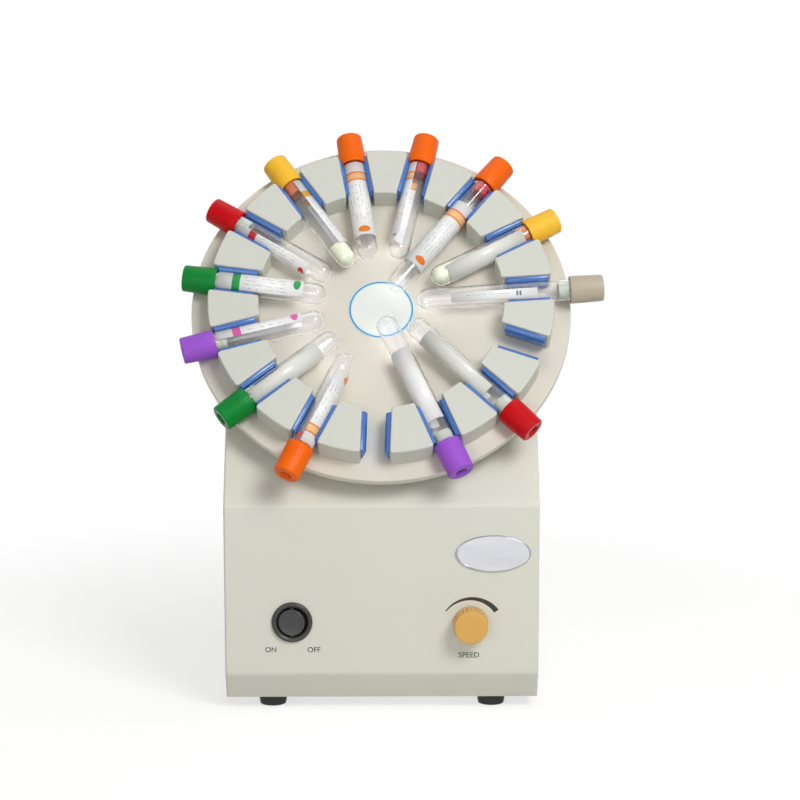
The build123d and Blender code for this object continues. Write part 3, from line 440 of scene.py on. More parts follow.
def addLamps():
    target = Vector((0, -0.02, 0.17))
    for name, lamp in lamps.items():
        data = bpy.data.lights.new(name, "AREA")
        data.shape = "RECTANGLE"
        data.size, data.size_y = lamp["size"]
        data.energy = lamp["power"]
        holder = bpy.data.objects.new(name, data)
        holder.location = lamp["place"]
        holder.rotation_euler = (target - Vector(lamp["place"])).to_track_quat("-Z", "Y").to_euler()
        bpy.context.scene.collection.objects.link(holder)


def seenByCamera(tree):
    # camera rays, and what clear or glossy parts show of the background
    rays = addNode(tree, "ShaderNodeLightPath").outputs
    clear = maths(tree, "MAXIMUM", rays["Is Camera Ray"], rays["Is Transmission Ray"])
    return maths(tree, "MAXIMUM", clear, rays["Is Glossy Ray"])


room = {
    "light": 0.24,
    "floorSeen": "B8B8B6",
    "floorLit": "D0D0CE",
    "near": 0.14,
    "far": 0.5,
    "nearGlow": 0.64,
}


def setWorld():
    # an even pale room with a white background
    world = bpy.data.worlds.new("room")
    bpy.context.scene.world = world
    world.use_nodes = True
    tree = world.node_tree
    background = tree.nodes["Background"]
    background.inputs["Color"].default_value = (1, 1, 1, 1)
    strength = addNode(tree, "ShaderNodeMapRange",
                       {"Value": seenByCamera(tree), "To Min": room["light"], "To Max": 1.0})
    tree.links.new(strength.outputs[0], background.inputs["Strength"])


def addFloor():
    # keeps the object's shadow close by and fades into the white background further out
    bm = bmesh.new()
    bmesh.ops.create_grid(bm, x_segments=1, y_segments=1, size=30.0)
    bmesh.ops.translate(bm, vec=(0, 0, cadLow.z - 0.0002), verts=bm.verts)
    mesh = bpy.data.meshes.new("floor")
    bm.to_mesh(mesh)
    bm.free()
    floor = bpy.data.objects.new("floor", mesh)
    bpy.context.scene.collection.objects.link(floor)
    material, tree, shader = newMaterial("paperFloor")
    shader.inputs["Roughness"].default_value = 0.9
    shader.inputs["Specular IOR Level"].default_value = 0.1
    shader.inputs["Emission Color"].default_value = (1, 1, 1, 1)
    seen = seenByCamera(tree)
    shade = mixColours(tree, seen, linear(room["floorLit"]), linear(room["floorSeen"]))
    tree.links.new(shade, shader.inputs["Base Color"])
    tree.links.new(maths(tree, "MULTIPLY", seen, room["nearGlow"]), shader.inputs["Emission Strength"])
    coords = addNode(tree, "ShaderNodeTexCoord").outputs["Object"]
    distance = addNode(tree, "ShaderNodeVectorMath", {0: coords}, operation="LENGTH").outputs["Value"]
    away = addNode(tree, "ShaderNodeMapRange",
                   {"Value": distance, "From Min": room["near"], "From Max": room["far"]},
                   interpolation_type="SMOOTHSTEP").outputs[0]
    white = addNode(tree, "ShaderNodeEmission", {"Color": (1, 1, 1, 1), "Strength": 1.0})
    both = addNode(tree, "ShaderNodeMixShader",
                   {0: maths(tree, "MULTIPLY", away, seen), 1: shader.outputs[0], 2: white.outputs[0]})
    tree.links.new(both.outputs[0], tree.nodes["Material Output"].inputs["Surface"])
    mesh.materials.append(material)


addCamera()
addLamps()
setWorld()
addFloor()
bpy.context.scene.view_settings.view_transform = "Standard"
print("camera, lamps and floor placed")

# ---- wheel

disc = {
    "radius": 0.113,
    "rimDepth": 0.0049,
    "web": 0.003,
    "rimWidth": 0.004,
    "edge": 0.0008,
    "bore": 0.00502,
    "bossRadius": 0.026,
    "ribWidth": 0.0024,
    "ribs": 15,
    "steps": 192,
}


def makeDisc():
    bm = bmesh.new()
    s = disc
    edge = s["edge"]
    innerRim = s["radius"] - s["rimWidth"]
    profile = [(s["bore"], 0.0)]
    profile += arcPoints((s["radius"] - edge, -edge), edge, 90, 0, 5)
    profile += arcPoints((s["radius"] - edge / 2, -s["rimDepth"] + edge / 2), edge / 2, 0, -90, 3)
    profile += [(innerRim, -s["rimDepth"]), (innerRim, -s["web"]),
                (s["bossRadius"], -s["web"]), (s["bossRadius"], -s["rimDepth"]),
                (s["bore"], -s["rimDepth"])]
    spinProfile(bm, profile, s["steps"], closed=True)
    length = innerRim - s["bossRadius"]
    middle = (innerRim + s["bossRadius"]) / 2
    for index in range(s["ribs"]):  # stiffening ribs and screw bosses on the back
        turn = Matrix.Rotation(math.radians(90) + slotPitch * index, 4, "Z")
        rib = addBox(bm, (middle - length / 2 - 0.0005, -s["ribWidth"] / 2, -s["rimDepth"]),
                     (middle + length / 2 + 0.0005, s["ribWidth"] / 2, -s["web"] + 0.0005))
        bmesh.ops.transform(bm, matrix=turn, verts=rib)
        boss = turn @ Matrix.Translation((wheel["gripRadius"], 0, 0))
        addRod(bm, 0.0046, -s["rimDepth"], -s["web"] + 0.0005, 24, boss)
    piece = addPiece(bm, "wheelDisc", discPlastic, "wheel", wheelPlace, 30, True)
    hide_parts("turntable")


blocks = {
    "inner": 0.0725,
    "outer": 0.1025,
    "height": 0.0156,
    "slotWidth": 0.017,
    "edge": 0.0009,
    "corner": 0.0018,
    "pocketLength": 0.025,
    "pocketBottom": 0.001,
    "pocketTop": 0.0142,
    "pocketDepth": 0.001,
    "arcSteps": 12,
}


def slotSide(radius):
    # angle from a block's middle to the slot's wall at a radius
    s = blocks
    half = s["slotWidth"] / 2
    return slotPitch / 2 - math.asin(half / radius)


def makeBlocks():
    bm = bmesh.new()
    s = blocks
    outline = []
    for radius, way in ((s["outer"], 1), (s["inner"], -1)):
        side = slotSide(radius)
        for step in range(s["arcSteps"] + 1):
            angle = way * side * (2 * step / s["arcSteps"] - 1)
            outline.append(bm.verts.new((radius * math.cos(angle), radius * math.sin(angle), 0)))
    bottom = bm.faces.new(outline)
    raised = bmesh.ops.extrude_face_region(bm, geom=[bottom])["geom"]
    top = [part for part in raised if isinstance(part, bmesh.types.BMVert)]
    bmesh.ops.translate(bm, vec=(0, 0, s["height"]), verts=top)
    upright = [edge for edge in bm.edges
               if abs(edge.verts[0].co.z - edge.verts[1].co.z) > s["height"] / 2
               and edge.calc_face_angle(0.0) > math.radians(40)]
    outerCorners = [edge for edge in upright if edge.verts[0].co.length > s["outer"] - s["corner"]]
    bevelEdges(bm, outerCorners, s["corner"], 5)
    rounded = [edge for edge in bm.edges
               if edge.calc_face_angle(0.0) > math.radians(40)
               and max(vert.co.z for vert in edge.verts) > s["height"] / 2]
    bevelEdges(bm, rounded, s["edge"], 4)
    for way in (-1, 1):
        pressPocket(bm, way)
    body = bm.verts[:] + bm.edges[:] + bm.faces[:]
    for index in range(1, wheel["slots"]):
        copied = bmesh.ops.duplicate(bm, geom=body)["geom"]
        verts = [part for part in copied if isinstance(part, bmesh.types.BMVert)]
        bmesh.ops.rotate(bm, cent=(0, 0, 0), matrix=Matrix.Rotation(slotPitch * index, 3, "Z"),
                         verts=verts)
    bmesh.ops.rotate(bm, cent=(0, 0, 0), matrix=Matrix.Rotation(math.radians(90), 3, "Z"),
                     verts=bm.verts)
    piece = addPiece(bm, "holderBlocks", blockPlastic, "wheel", wheelPlace, 30, True)
    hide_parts("holder_blocks")


def pressPocket(bm, way):
    # a shallow pocket in a block's side wall, where the rubber grip is seated
    s = blocks
    wallAngle = way * slotPitch / 2
    along = Vector((math.cos(wallAngle), math.sin(wallAngle), 0))
    outwards = Vector((-math.sin(wallAngle), math.cos(wallAngle), 0)) * way
    middle = along * wheel["gripRadius"] - outwards * s["slotWidth"] / 2
    cuts = ((middle + along * s["pocketLength"] / 2, along),
            (middle - along * s["pocketLength"] / 2, along),
            (Vector((0, 0, s["pocketBottom"])), Vector((0, 0, 1))),
            (Vector((0, 0, s["pocketTop"])), Vector((0, 0, 1))))
    for point, normal in cuts:
        wall = [face for face in bm.faces if face.normal.dot(outwards) > 0.999]
        parts = list({part for face in wall for part in [*face.verts, *face.edges, face]})
        bmesh.ops.bisect_plane(bm, geom=parts, dist=1e-7, plane_co=point, plane_no=normal)
    floorFaces = []
    for face in bm.faces:
        centre = face.calc_center_median()
        near = abs((centre - middle).dot(along)) < s["pocketLength"] / 2
        if face.normal.dot(outwards) > 0.999 and near and s["pocketBottom"] < centre.z < s["pocketTop"]:
            floorFaces.append(face)
    sunk = bmesh.ops.extrude_face_region(bm, geom=floorFaces)["geom"]
    verts = [part for part in sunk if isinstance(part, bmesh.types.BMVert)]
    bmesh.ops.translate(bm, vec=-outwards * s["pocketDepth"], verts=verts)
    bmesh.ops.delete(bm, geom=floorFaces, context="FACES_ONLY")


grips = {
    "length": 0.0248,
    "bottom": 0.0011,
    "top": 0.0141,
    "seat": 0.00095,
    "reach": 0.0033,
    "footReach": 0.0006,
    "edge": 0.0003,
    "pressGap": 0.0003,
}


def makeGrips():
    # round-nosed strips; where a tube sits, it and its cap have pressed their own shape
    bm = bmesh.new()
    s = grips
    wall = blocks["slotWidth"] / 2
    section = [(wall + s["seat"], s["bottom"]), (wall - s["footReach"], s["bottom"])]
    section += arcPoints((wall, s["top"] - s["reach"]), s["reach"], 180, 90, 9)
    section += [(wall + s["seat"], s["top"])]
    for slot in range(1, wheel["slots"] + 1):
        for way in (-1, 1):
            start = wheel["gripRadius"] - s["length"] / 2
            ring = [bm.verts.new((start, way * sideways, height)) for sideways, height in section]
            end = bm.faces.new(ring)
            grown = bmesh.ops.extrude_face_region(bm, geom=[end])["geom"]
            far = [part for part in grown if isinstance(part, bmesh.types.BMVert)]
            bmesh.ops.translate(bm, vec=(s["length"], 0, 0), verts=far)
            turn = Matrix.Rotation(slotAngle(slot), 3, "Z")
            bmesh.ops.rotate(bm, cent=(0, 0, 0), matrix=turn, verts=ring + far)
    rounded = [edge for edge in bm.edges if edge.calc_face_angle(0.0) > math.radians(50)]
    bmesh.ops.recalc_face_normals(bm, faces=bm.faces)
    bevelEdges(bm, rounded, s["edge"], 3)
    piece = addPiece(bm, "slotGrips", gripRubber, "wheel", wheelPlace, 40)
    cutter = bmesh.new()
    tubeSide = tube["radius"] + s["pressGap"]
    capSide = cap["radius"] + s["pressGap"]
    for number in tubeNumbers:
        place = tubePlace(number)
        capEnd = nodeSpan(f"cap_{number}", place.translation, place.col[2].xyz)[1]
        skirt = capEnd - cap["length"] - s["pressGap"]
        pressed = bmesh.new()
        spinProfile(pressed, [(0.0, -0.05), (tubeSide, -0.05), (tubeSide, skirt), (capSide, skirt),
                              (capSide, 0.04), (0.0, 0.04)], 48)
        pressed.transform(place)
        shape = bpy.data.meshes.new("pressed")
        pressed.to_mesh(shape)
        pressed.free()
        cutter.from_mesh(shape)
        bpy.data.meshes.remove(shape)
    cutAway(piece, cutter)
    markSharp(piece, 40)
    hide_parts("slot_grips")


centreLabel = {
    "radius": 0.0195,
    "thickness": 0.0003,
    "ringRadius": 0.0186,
    "ringWidth": 0.0009,
    "haloWidth": 0.0022,
    "ink": 0.00003,
}


def makeCentreLabel():
    s = centreLabel
    bm = bmesh.new()
    spinProfile(bm, [(0.0, 0.0), (s["radius"], 0.0), (s["radius"], s["thickness"] * 0.7),
                     (s["radius"] - s["thickness"] * 0.3, s["thickness"]), (0.0, s["thickness"])], 128)
    plate = addPiece(bm, "centreLabel", labelWhite, "wheel", wheelPlace)
    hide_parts("centre_label")
    rings = (("labelHalo", s["haloWidth"], s["ink"], paleInk),
             ("labelRing", s["ringWidth"], 2 * s["ink"], ringInk))
    for name, width, lift, ink in rings:
        bm = bmesh.new()
        inner, outer = s["ringRadius"] - width / 2, s["ringRadius"] + width / 2
        outer = min(outer, s["radius"] - s["thickness"] * 0.3)
        low, high = s["thickness"] - s["ink"], s["thickness"] + lift
        spinProfile(bm, [(inner, low), (outer, low), (outer, high), (inner, high)], 128, closed=True)
        ring = addPiece(bm, name, ink, "wheel", wheelPlace)


makeDisc()
makeBlocks()
makeCentreLabel()
print("wheel made")

# ---- tubes

tube = {
    "radius": 0.0065,
    "wall": 0.001,
    "steps": 48,
}
cap = {
    "radius": 0.0082,
    "length": 0.020,
    "overhang": 0.011,
    "wellRadius": 0.0036,
    "wellDepth": 0.0048,
    "ribs": 36,
    "ribDepth": 0.00016,
    "edge": 0.0011,
    "stopperLength": 0.016,
}
framedPrint = {"band": "F57F06", "fill": "FFC98A", "bandAt": (0.0068, 0.0128), "printed": (0.0, 1.0)}
solidPrint = {"bandAt": (0.0088, 0.0135), "printed": (0.0, 1.0)}

# Colour of the cap and its stopper; label: where it starts below the cap, its length, the way its
# middle faces and how far it wraps, in degrees; band: its colour, the colour inside it and where it
# is; printed: the share of the wrap that has print, none if the label is blank; dot: 0 for no dot.
tubeLooks = {
    "01": {"cap": "orange", "stopper": "red", "start": 0.0010, "length": 0.0515, "faces": 0, "wraps": 300,
           **framedPrint},
    "02": {"cap": "orange", "stopper": "red", "start": 0.0010, "length": 0.0515, "faces": -100, "wraps": 175,
           **framedPrint},
    "03": {"cap": "orange", "stopper": "red", "start": 0.0195, "length": 0.0520, "faces": 30, "wraps": 290,
           **framedPrint},
    "04": {"cap": "yellow", "stopper": "amber", "start": 0.0040, "length": 0.0520, "faces": 90, "wraps": 205,
           "printed": ()},
    "05": {"cap": "grey", "stopper": "pale", "start": 0.0195, "length": 0.0515, "faces": 29, "wraps": 52,
           "band": "565C66", "fill": "D8DADE", "bandAt": (0.0098, 0.0128), "printed": (0.25, 0.7),
           "dot": 0.0},
    "07": {"cap": "red", "stopper": "pale", "start": 0.0150, "length": 0.0515, "faces": 87, "wraps": 207,
           "printed": ()},
    "08": {"cap": "purple", "stopper": "pale", "start": 0.0145, "length": 0.0500, "faces": 80, "wraps": 246,
           "band": "E0409A", "fill": "E0409A", "bandAt": (0.0088, 0.0135), "printed": (0.47, 1.0)},
    "10": {"cap": "orange", "stopper": "red", "start": 0.0010, "length": 0.0515, "faces": -85, "wraps": 185,
           **framedPrint},
    "11": {"cap": "green", "stopper": "pale", "start": 0.0010, "length": 0.0500, "faces": -86, "wraps": 208,
           "printed": ()},
    "12": {"cap": "purple", "stopper": "pale", "start": 0.0010, "length": 0.0520, "faces": 76, "wraps": 180,
           "band": "E860B0", "fill": "E860B0", "bandAt": (0.0100, 0.0150), "printed": (0.0, 0.5)},
    "13": {"cap": "green", "stopper": "pale", "start": 0.0010, "length": 0.0515, "faces": 13, "wraps": 150,
           "band": "08A04A", "fill": "08A04A", **solidPrint},
    "14": {"cap": "red", "stopper": "pale", "start": 0.0010, "length": 0.0515, "faces": -93, "wraps": 152,
           "band": "D8101C", "fill": "D8101C", **solidPrint},
    "15": {"cap": "yellow", "stopper": "amber", "start": 0.0010, "length": 0.0515, "faces": 85, "wraps": 160,
           "band": "F0B428", "fill": "F0B428", **solidPrint},
}
gel = {
    "tubes": ("04", "15"),
    "height": 0.0150,
    "gap": 0.00004,
}
labelSheet = {
    "thickness": 0.0001,
    "printScale": 14.0,
    "frame": 0.0010,
    "lines": (0.0160, 0.0420),
    "linePitch": 0.0023,
    "halfStroke": 0.0002,
    "writing": "B2B2BC",
    "printedPaper": ("ECECEA", "F2F2F0"),
    # blank labels get a greyer copy of the paper: painted shade of a label's back seen through the clear
    # tube
    "shadedBlankPaper": ("DCDDD4", "E4E5DC"),
    "dotPlace": 0.0475,
    "dotSize": (0.0022, 0.0037),
    "lampsThrough": "A8A8A8",
}


def makeTubes():
    s = tube
    for number in tubeNumbers:
        place = tubePlace(number)
        origin, outwards = place.translation, place.col[2].xyz
        bottom, mouth = nodeSpan(f"tube_{number}", origin, outwards)
        inside = s["radius"] - s["wall"]
        middle = bottom + s["radius"]
        profile = arcPoints((0.0, middle), s["radius"], -90, 0, 14)
        profile += [(s["radius"], mouth - 0.0002), (s["radius"] - 0.0002, mouth),
                    (inside + 0.0002, mouth), (inside, mouth - 0.0002)]
        profile += arcPoints((0.0, middle), inside, 0, -90, 12)
        bm = bmesh.new()
        spinProfile(bm, profile, s["steps"])
        piece = addPiece(bm, f"clearTube{number}", clearPlastic, f"blood_tube_{number}", place)
        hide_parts(f"tube_{number}")
        makeCap(number, place, origin, outwards, mouth)
        if number in gel["tubes"]:
            makeGel(number, place, bottom, inside)
        makeTubeLabel(number, place, mouth)


def makeCap(number, place, origin, outwards, mouth):
    s = cap
    look = tubeLooks[number]
    outer = nodeSpan(f"cap_{number}", origin, outwards)[1]
    skirt = outer - s["length"]
    fit = tube["radius"] + 0.0001
    edge = s["edge"]
    profile = [(fit, mouth), (fit, skirt + 0.0004), (fit + 0.0004, skirt)]
    profile += arcPoints((s["radius"] - 0.0005, skirt + 0.0005), 0.0005, -90, 0, 3)
    profile += [(s["radius"], skirt + 0.007), (s["radius"] - 0.00005, skirt + 0.0075)]
    taper = 0.0004
    profile += arcPoints((s["radius"] - taper - edge, outer - edge), edge, 0, 90, 5)
    profile += [(s["wellRadius"] + 0.0003, outer), (s["wellRadius"], outer - 0.0003),
                (s["wellRadius"] - 0.0004, outer - s["wellDepth"]), (0.0, outer - s["wellDepth"])]
    bm = bmesh.new()
    spinProfile(bm, profile, s["ribs"] * 4)
    for vert in bm.verts:  # fine ribs run along the cap
        radius = vert.co.xy.length
        if radius > s["radius"] - 2.2 * edge:
            wave = 0.5 - 0.5 * math.cos(s["ribs"] * math.atan2(vert.co.y, vert.co.x))
            shrink = 1 - wave ** 2 * s["ribDepth"] / radius
            vert.co.x *= shrink
            vert.co.y *= shrink
    plastic = capPlastics[look["cap"]]
    shell = addPiece(bm, f"cap{number}", plastic, f"blood_tube_{number}", place, 50)
    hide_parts(f"cap_{number}")
    rubber = stopperRubbers[look["stopper"]]
    bm = bmesh.new()
    plug = tube["radius"] - tube["wall"] - 0.00003
    plugEnd = mouth - s["stopperLength"]
    spinProfile(bm, [(0.0, plugEnd + 0.001), (plug * 0.6, plugEnd + 0.001),
                     (plug * 0.7, plugEnd), (plug - 0.0004, plugEnd),
                     (plug, plugEnd + 0.0004), (plug, mouth),
                     (fit - 0.0002, mouth + 0.00003), (fit - 0.0002, mouth + 0.003),
                     (0.0, mouth + 0.003)], 48)
    stopper = addPiece(bm, f"stopper{number}", rubber, f"blood_tube_{number}", place)
    # a rubber disc at the well's floor; the rubber is there, but its near-black colour is painted shade deep
    # in the well
    bm = bmesh.new()
    wellFloor = outer - s["wellDepth"]
    side = s["wellRadius"] - 0.00045
    spinProfile(bm, [(0.0, wellFloor - 0.0002), (side, wellFloor - 0.0002), (side, wellFloor + 0.0006),
                     (side - 0.0004, wellFloor + 0.0008), (0.0, wellFloor + 0.0006)], 40)
    shadedSeptum = addPiece(bm, f"septum{number}", stopperRubbers["dark"], f"blood_tube_{number}", place)


def makeGel(number, place, bottom, inside):
    # cloudy separating gel in the round end of a tube
    s = gel
    side = inside - s["gap"]
    middle = bottom + tube["radius"]
    bm = bmesh.new()
    profile = arcPoints((0.0, middle), side, -90, 0, 12)
    profile += [(side, bottom + s["height"]), (side * 0.7, bottom + s["height"] - 0.0005),
                (0.0, bottom + s["height"] - 0.0007)]
    spinProfile(bm, profile, 48)
    piece = addPiece(bm, f"gel{number}", serumGel, f"blood_tube_{number}", place)


def within(tree, value, low, high):
    return maths(tree, "MULTIPLY", maths(tree, "GREATER_THAN", value, low),
                 maths(tree, "LESS_THAN", value, high))


def labelPaper(number, look):
    # white paper, greyer on blank labels as painted shade; its print is a framed band, broken lines of
    # writing and a dot, in the label's own UV
    material, tree, shader = newMaterial("tubeLabel" + number)
    s = labelSheet
    # blank labels take the greyer paper, which is painted shade
    papers = s["printedPaper"] if look["printed"] else s["shadedBlankPaper"]
    colour = mixColours(tree, noiseOf(tree, 300, 3.0), linear(papers[0]), linear(papers[1]))
    if look["printed"]:
        uv = addNode(tree, "ShaderNodeUVMap", uv_map="print").outputs[0]
        parts = addNode(tree, "ShaderNodeSeparateXYZ", {0: uv})
        along = maths(tree, "DIVIDE", parts.outputs[0], s["printScale"])
        around = maths(tree, "DIVIDE", parts.outputs[1], s["printScale"])
        wrap = math.radians(look["wraps"]) * tube["radius"]
        first, last = [share * wrap for share in look["printed"]]
        inPrint = within(tree, around, first, last)
        strokes = maths(tree, "LESS_THAN", maths(tree, "PINGPONG", around, s["linePitch"] / 2),
                        s["halfStroke"])
        breaks = maths(tree, "GREATER_THAN", noiseOf(tree, 520, 2.0), 0.5)
        writing = maths(tree, "MULTIPLY", maths(tree, "MULTIPLY", strokes, breaks),
                        maths(tree, "MULTIPLY", within(tree, along, *s["lines"]), inPrint))
        colour = mixColours(tree, writing, colour, linear(s["writing"]))
        low, high = look["bandAt"]
        frameArea = maths(tree, "MULTIPLY", within(tree, along, low, high), inPrint)
        innerArea = maths(tree, "MULTIPLY",
                          within(tree, along, low + s["frame"], high - s["frame"]), inPrint)
        colour = mixColours(tree, frameArea, colour, linear(look["band"]))
        colour = mixColours(tree, innerArea, colour, linear(look["fill"]))
        offAlong = maths(tree, "DIVIDE", maths(tree, "SUBTRACT", along, s["dotPlace"]), s["dotSize"][0])
        offAround = maths(tree, "DIVIDE",
                          maths(tree, "SUBTRACT", around, (first + last) / 2), s["dotSize"][1])
        squares = maths(tree, "ADD", maths(tree, "MULTIPLY", offAlong, offAlong),
                        maths(tree, "MULTIPLY", offAround, offAround))
        inDot = maths(tree, "MULTIPLY",
                      maths(tree, "LESS_THAN", squares, look.get("dot", 1.0)), inPrint)
        colour = mixColours(tree, inDot, colour, linear(look["band"]))
    tree.links.new(colour, shader.inputs["Base Color"])
    shader.inputs["Coat Weight"].default_value = 0.25
    setGloss(tree, shader, noiseOf(tree, 500, 2.0), 0.3, 0.42)
    letLampsThrough(tree, shader, s["lampsThrough"])
    return material


def makeTubeLabel(number, place, mouth):
    look = tubeLooks[number]
    s = labelSheet
    radius = tube["radius"] + 0.00004
    top = mouth - (cap["length"] - cap["overhang"]) - look["start"]
    wraps = math.radians(look["wraps"])
    bm = bmesh.new()
    ends = [bm.verts.new((radius, 0, top)), bm.verts.new((radius, 0, top - look["length"]))]
    bmesh.ops.rotate(bm, cent=(0, 0, 0), verts=ends,
                     matrix=Matrix.Rotation(math.radians(look["faces"]) - wraps / 2, 3, "Z"))
    edge = bm.edges.new(ends)
    steps = max(12, int(look["wraps"] / 7.5))
    bmesh.ops.spin(bm, geom=ends + [edge], cent=(0, 0, 0), axis=(0, 0, 1), angle=wraps, steps=steps)
    layer = bm.loops.layers.uv.new("print")
    first = math.radians(look["faces"]) - wraps / 2
    for face in bm.faces:
        middle = face.calc_center_median()
        faceTurn = (math.atan2(middle.y, middle.x) - first) % math.tau
        for loop in face.loops:
            turn = (math.atan2(loop.vert.co.y, loop.vert.co.x) - first) % math.tau
            if turn - faceTurn > math.pi:
                turn -= math.tau
            loop[layer].uv = ((top - loop.vert.co.z) * s["printScale"], turn * radius * s["printScale"])
    piece = addPiece(bm, f"tubeLabel{number}", labelPaper(number, look), f"blood_tube_{number}", place)
    paper = piece.modifiers.new("paper", "SOLIDIFY")
    paper.thickness = s["thickness"]
    paper.offset = 1.0


makeTubes()
makeGrips()
print("tubes, caps, labels and grips made")

# ---- controls on the panel

switch = {
    "bezelRadius": 0.012,
    "bezelHeight": 0.0022,
    "wellRadius": 0.0088,
    "wellDepth": 0.0085,
    "barrelRadius": 0.010,
    "barrelDepth": 0.019,
    "terminal": (0.0048, 0.0008, 0.008),
}


def makeSwitch():
    s = switch
    middle = nodeMiddle("switch_body")
    place = panelPlace(middle.x, middle.z)
    bm = bmesh.new()
    crown = s["bezelHeight"]
    profile = [(0.0, -s["barrelDepth"]), (s["barrelRadius"] - 0.0006, -s["barrelDepth"]),
               (s["barrelRadius"], -s["barrelDepth"] + 0.0006), (s["barrelRadius"], 0.0),
               (s["bezelRadius"] - 0.0003, 0.0)]
    profile += [(s["bezelRadius"], 0.0004), (s["bezelRadius"] - 0.0001, crown * 0.45)]
    profile += arcPoints((s["bezelRadius"] - 0.0013, crown * 0.45), crown * 0.55, 25, 100, 5)
    profile += [(s["wellRadius"] + 0.0006, crown * 0.75), (s["wellRadius"], crown * 0.35),
                (s["wellRadius"], -s["wellDepth"]), (0.0, -s["wellDepth"])]
    spinProfile(bm, profile, 96)
    wide, thick, long = s["terminal"]
    for way in (-1, 1):
        x = way * s["barrelRadius"] / 2
        addBox(bm, (x - thick / 2, -wide / 2, -s["barrelDepth"] - long),
               (x + thick / 2, wide / 2, -s["barrelDepth"] + 0.0004))
    piece = addPiece(bm, "switchBezel", blackPlastic, "base", place, 40)
    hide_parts("switch_body")


rockerShape = {
    "radius": 0.0079,
    "crown": 0.0028,
    "back": 0.0036,
    "dish": 0.0004,
    "edge": 0.0007,
    "tilt": math.radians(9),
    "pinRadius": 0.0012,
    "pinReach": 0.0096,
}


def makeRocker():
    s = rockerShape
    pivot = Vector(joints["rocker_switch"]["pos_m"])
    facing = Vector((-math.sin(s["tilt"]), -math.cos(s["tilt"]), 0))
    place = planeMatrix(pivot, Vector((math.cos(s["tilt"]), -math.sin(s["tilt"]), 0)), facing)
    bm = bmesh.new()
    profile = [(0.0, -s["back"]), (s["radius"] - 0.0003, -s["back"]), (s["radius"], -s["back"] + 0.0003)]
    profile += arcPoints((s["radius"] - s["edge"], s["crown"] - s["edge"]), s["edge"], 0, 90, 5)
    profile += [(s["radius"] * 0.85, s["crown"] - s["dish"] * 0.35),
                (s["radius"] * 0.5, s["crown"] - s["dish"] * 0.8), (0.0, s["crown"] - s["dish"])]
    spinProfile(bm, profile, 80)
    addRod(bm, s["pinRadius"], -s["pinReach"], s["pinReach"], 24, Matrix.Rotation(math.radians(90), 4, "X"))
    piece = addPiece(bm, "rockerButton", rockerPlastic, "rocker", place, 40)
    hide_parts("rocker")


knob = {
    "radius": 0.0102,
    "depth": 0.012,
    "gap": 0.001,
    "flutes": 24,
    "fluteDepth": 0.00065,
    "faceRadius": 0.0096,
    "edge": 0.0007,
    "hollow": 0.0075,
}


def makeKnob():
    s = knob
    middle = nodeMiddle("speed_knob")
    place = panelPlace(middle.x, middle.z, s["gap"])
    bm = bmesh.new()
    profile = [(0.003, 0.0034), (s["hollow"], 0.0034), (s["hollow"], 0.0), (s["radius"] - 0.0003, 0.0),
               (s["radius"], 0.0003), (s["radius"], s["depth"] * 0.35),
               (s["radius"] - 0.0002, s["depth"] * 0.8)]
    profile += arcPoints((s["faceRadius"] - s["edge"], s["depth"] - s["edge"]), s["edge"], 10, 90, 5)
    profile += [(s["faceRadius"] * 0.6, s["depth"] - 0.00005), (0.0, s["depth"] - 0.0001)]
    spinProfile(bm, profile, s["flutes"] * 8)
    for vert in bm.verts:  # scallops the skirt, and leaves the face round
        radius = vert.co.xy.length
        if radius > s["faceRadius"] - s["edge"] * 0.8:
            wave = max(0.0, math.cos(s["flutes"] * math.atan2(vert.co.y, vert.co.x)))
            fade = min(1.0, max(0.0, (s["depth"] - vert.co.z - s["edge"] * 0.4) / 0.0016))
            shrink = 1 - wave * fade * s["fluteDepth"] / radius
            vert.co.x *= shrink
            vert.co.y *= shrink
    piece = addPiece(bm, "speedKnob", knobPlastic, "speed_knob", place, 50)
    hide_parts("speed_knob")


badge = {
    "width": 0.044,
    "height": 0.0216,
    "thickness": 0.0014,
    "rim": 0.0009,
    "dome": 0.0003,
}


def makeBadge():
    s = badge
    middle = nodeMiddle("badge")
    place = panelPlace(middle.x, middle.z)
    aspect = s["height"] / s["width"]
    half = s["width"] / 2
    bm = bmesh.new()
    profile = [(0.0, 0.0), (half, 0.0), (half, s["thickness"] * 0.5)]
    profile += arcPoints((half - s["thickness"] * 0.5, s["thickness"] * 0.5), s["thickness"] * 0.5, 0, 90, 4)
    profile += [(half - s["rim"] - 0.0002, s["thickness"] * 0.85), (0.0, s["thickness"] * 0.85)]
    spinProfile(bm, profile, 128)
    bmesh.ops.scale(bm, vec=(1, aspect, 1), verts=bm.verts)
    frameRing = addPiece(bm, "badgeFrame", badgeFrame, "base", place, 40)
    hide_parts("badge")
    bm = bmesh.new()
    inner = half - s["rim"]
    rings = 8
    profile = [(0.0, s["thickness"] * 0.6), (inner, s["thickness"] * 0.6)]
    for step in range(rings + 1):
        share = 1 - step / rings
        profile.append((inner * share, s["thickness"] * 0.85 + s["dome"] * (1 - share ** 2)))
    spinProfile(bm, profile, 128)
    bmesh.ops.scale(bm, vec=(1, aspect, 1), verts=bm.verts)
    field = addPiece(bm, "badgeField", badgeSilver, "base", place, 40)


panelPrint = {
    "on": {"words": "ON", "place": (-0.0650, 0.0312), "height": 0.0030},
    "off": {"words": "OFF", "place": (-0.0398, 0.0311), "height": 0.0031},
    "speed": {"words": "SPEED", "place": (0.0511, 0.0277), "height": 0.0032},
}
speedArc = {
    "centre": (0.0523, 0.0435),
    "radius": 0.0183,
    "from": 144.0,
    "to": 36.0,
    "thin": 0.0006,
    "thick": 0.0032,
    "steps": 36,
    "ink": 0.00004,
}


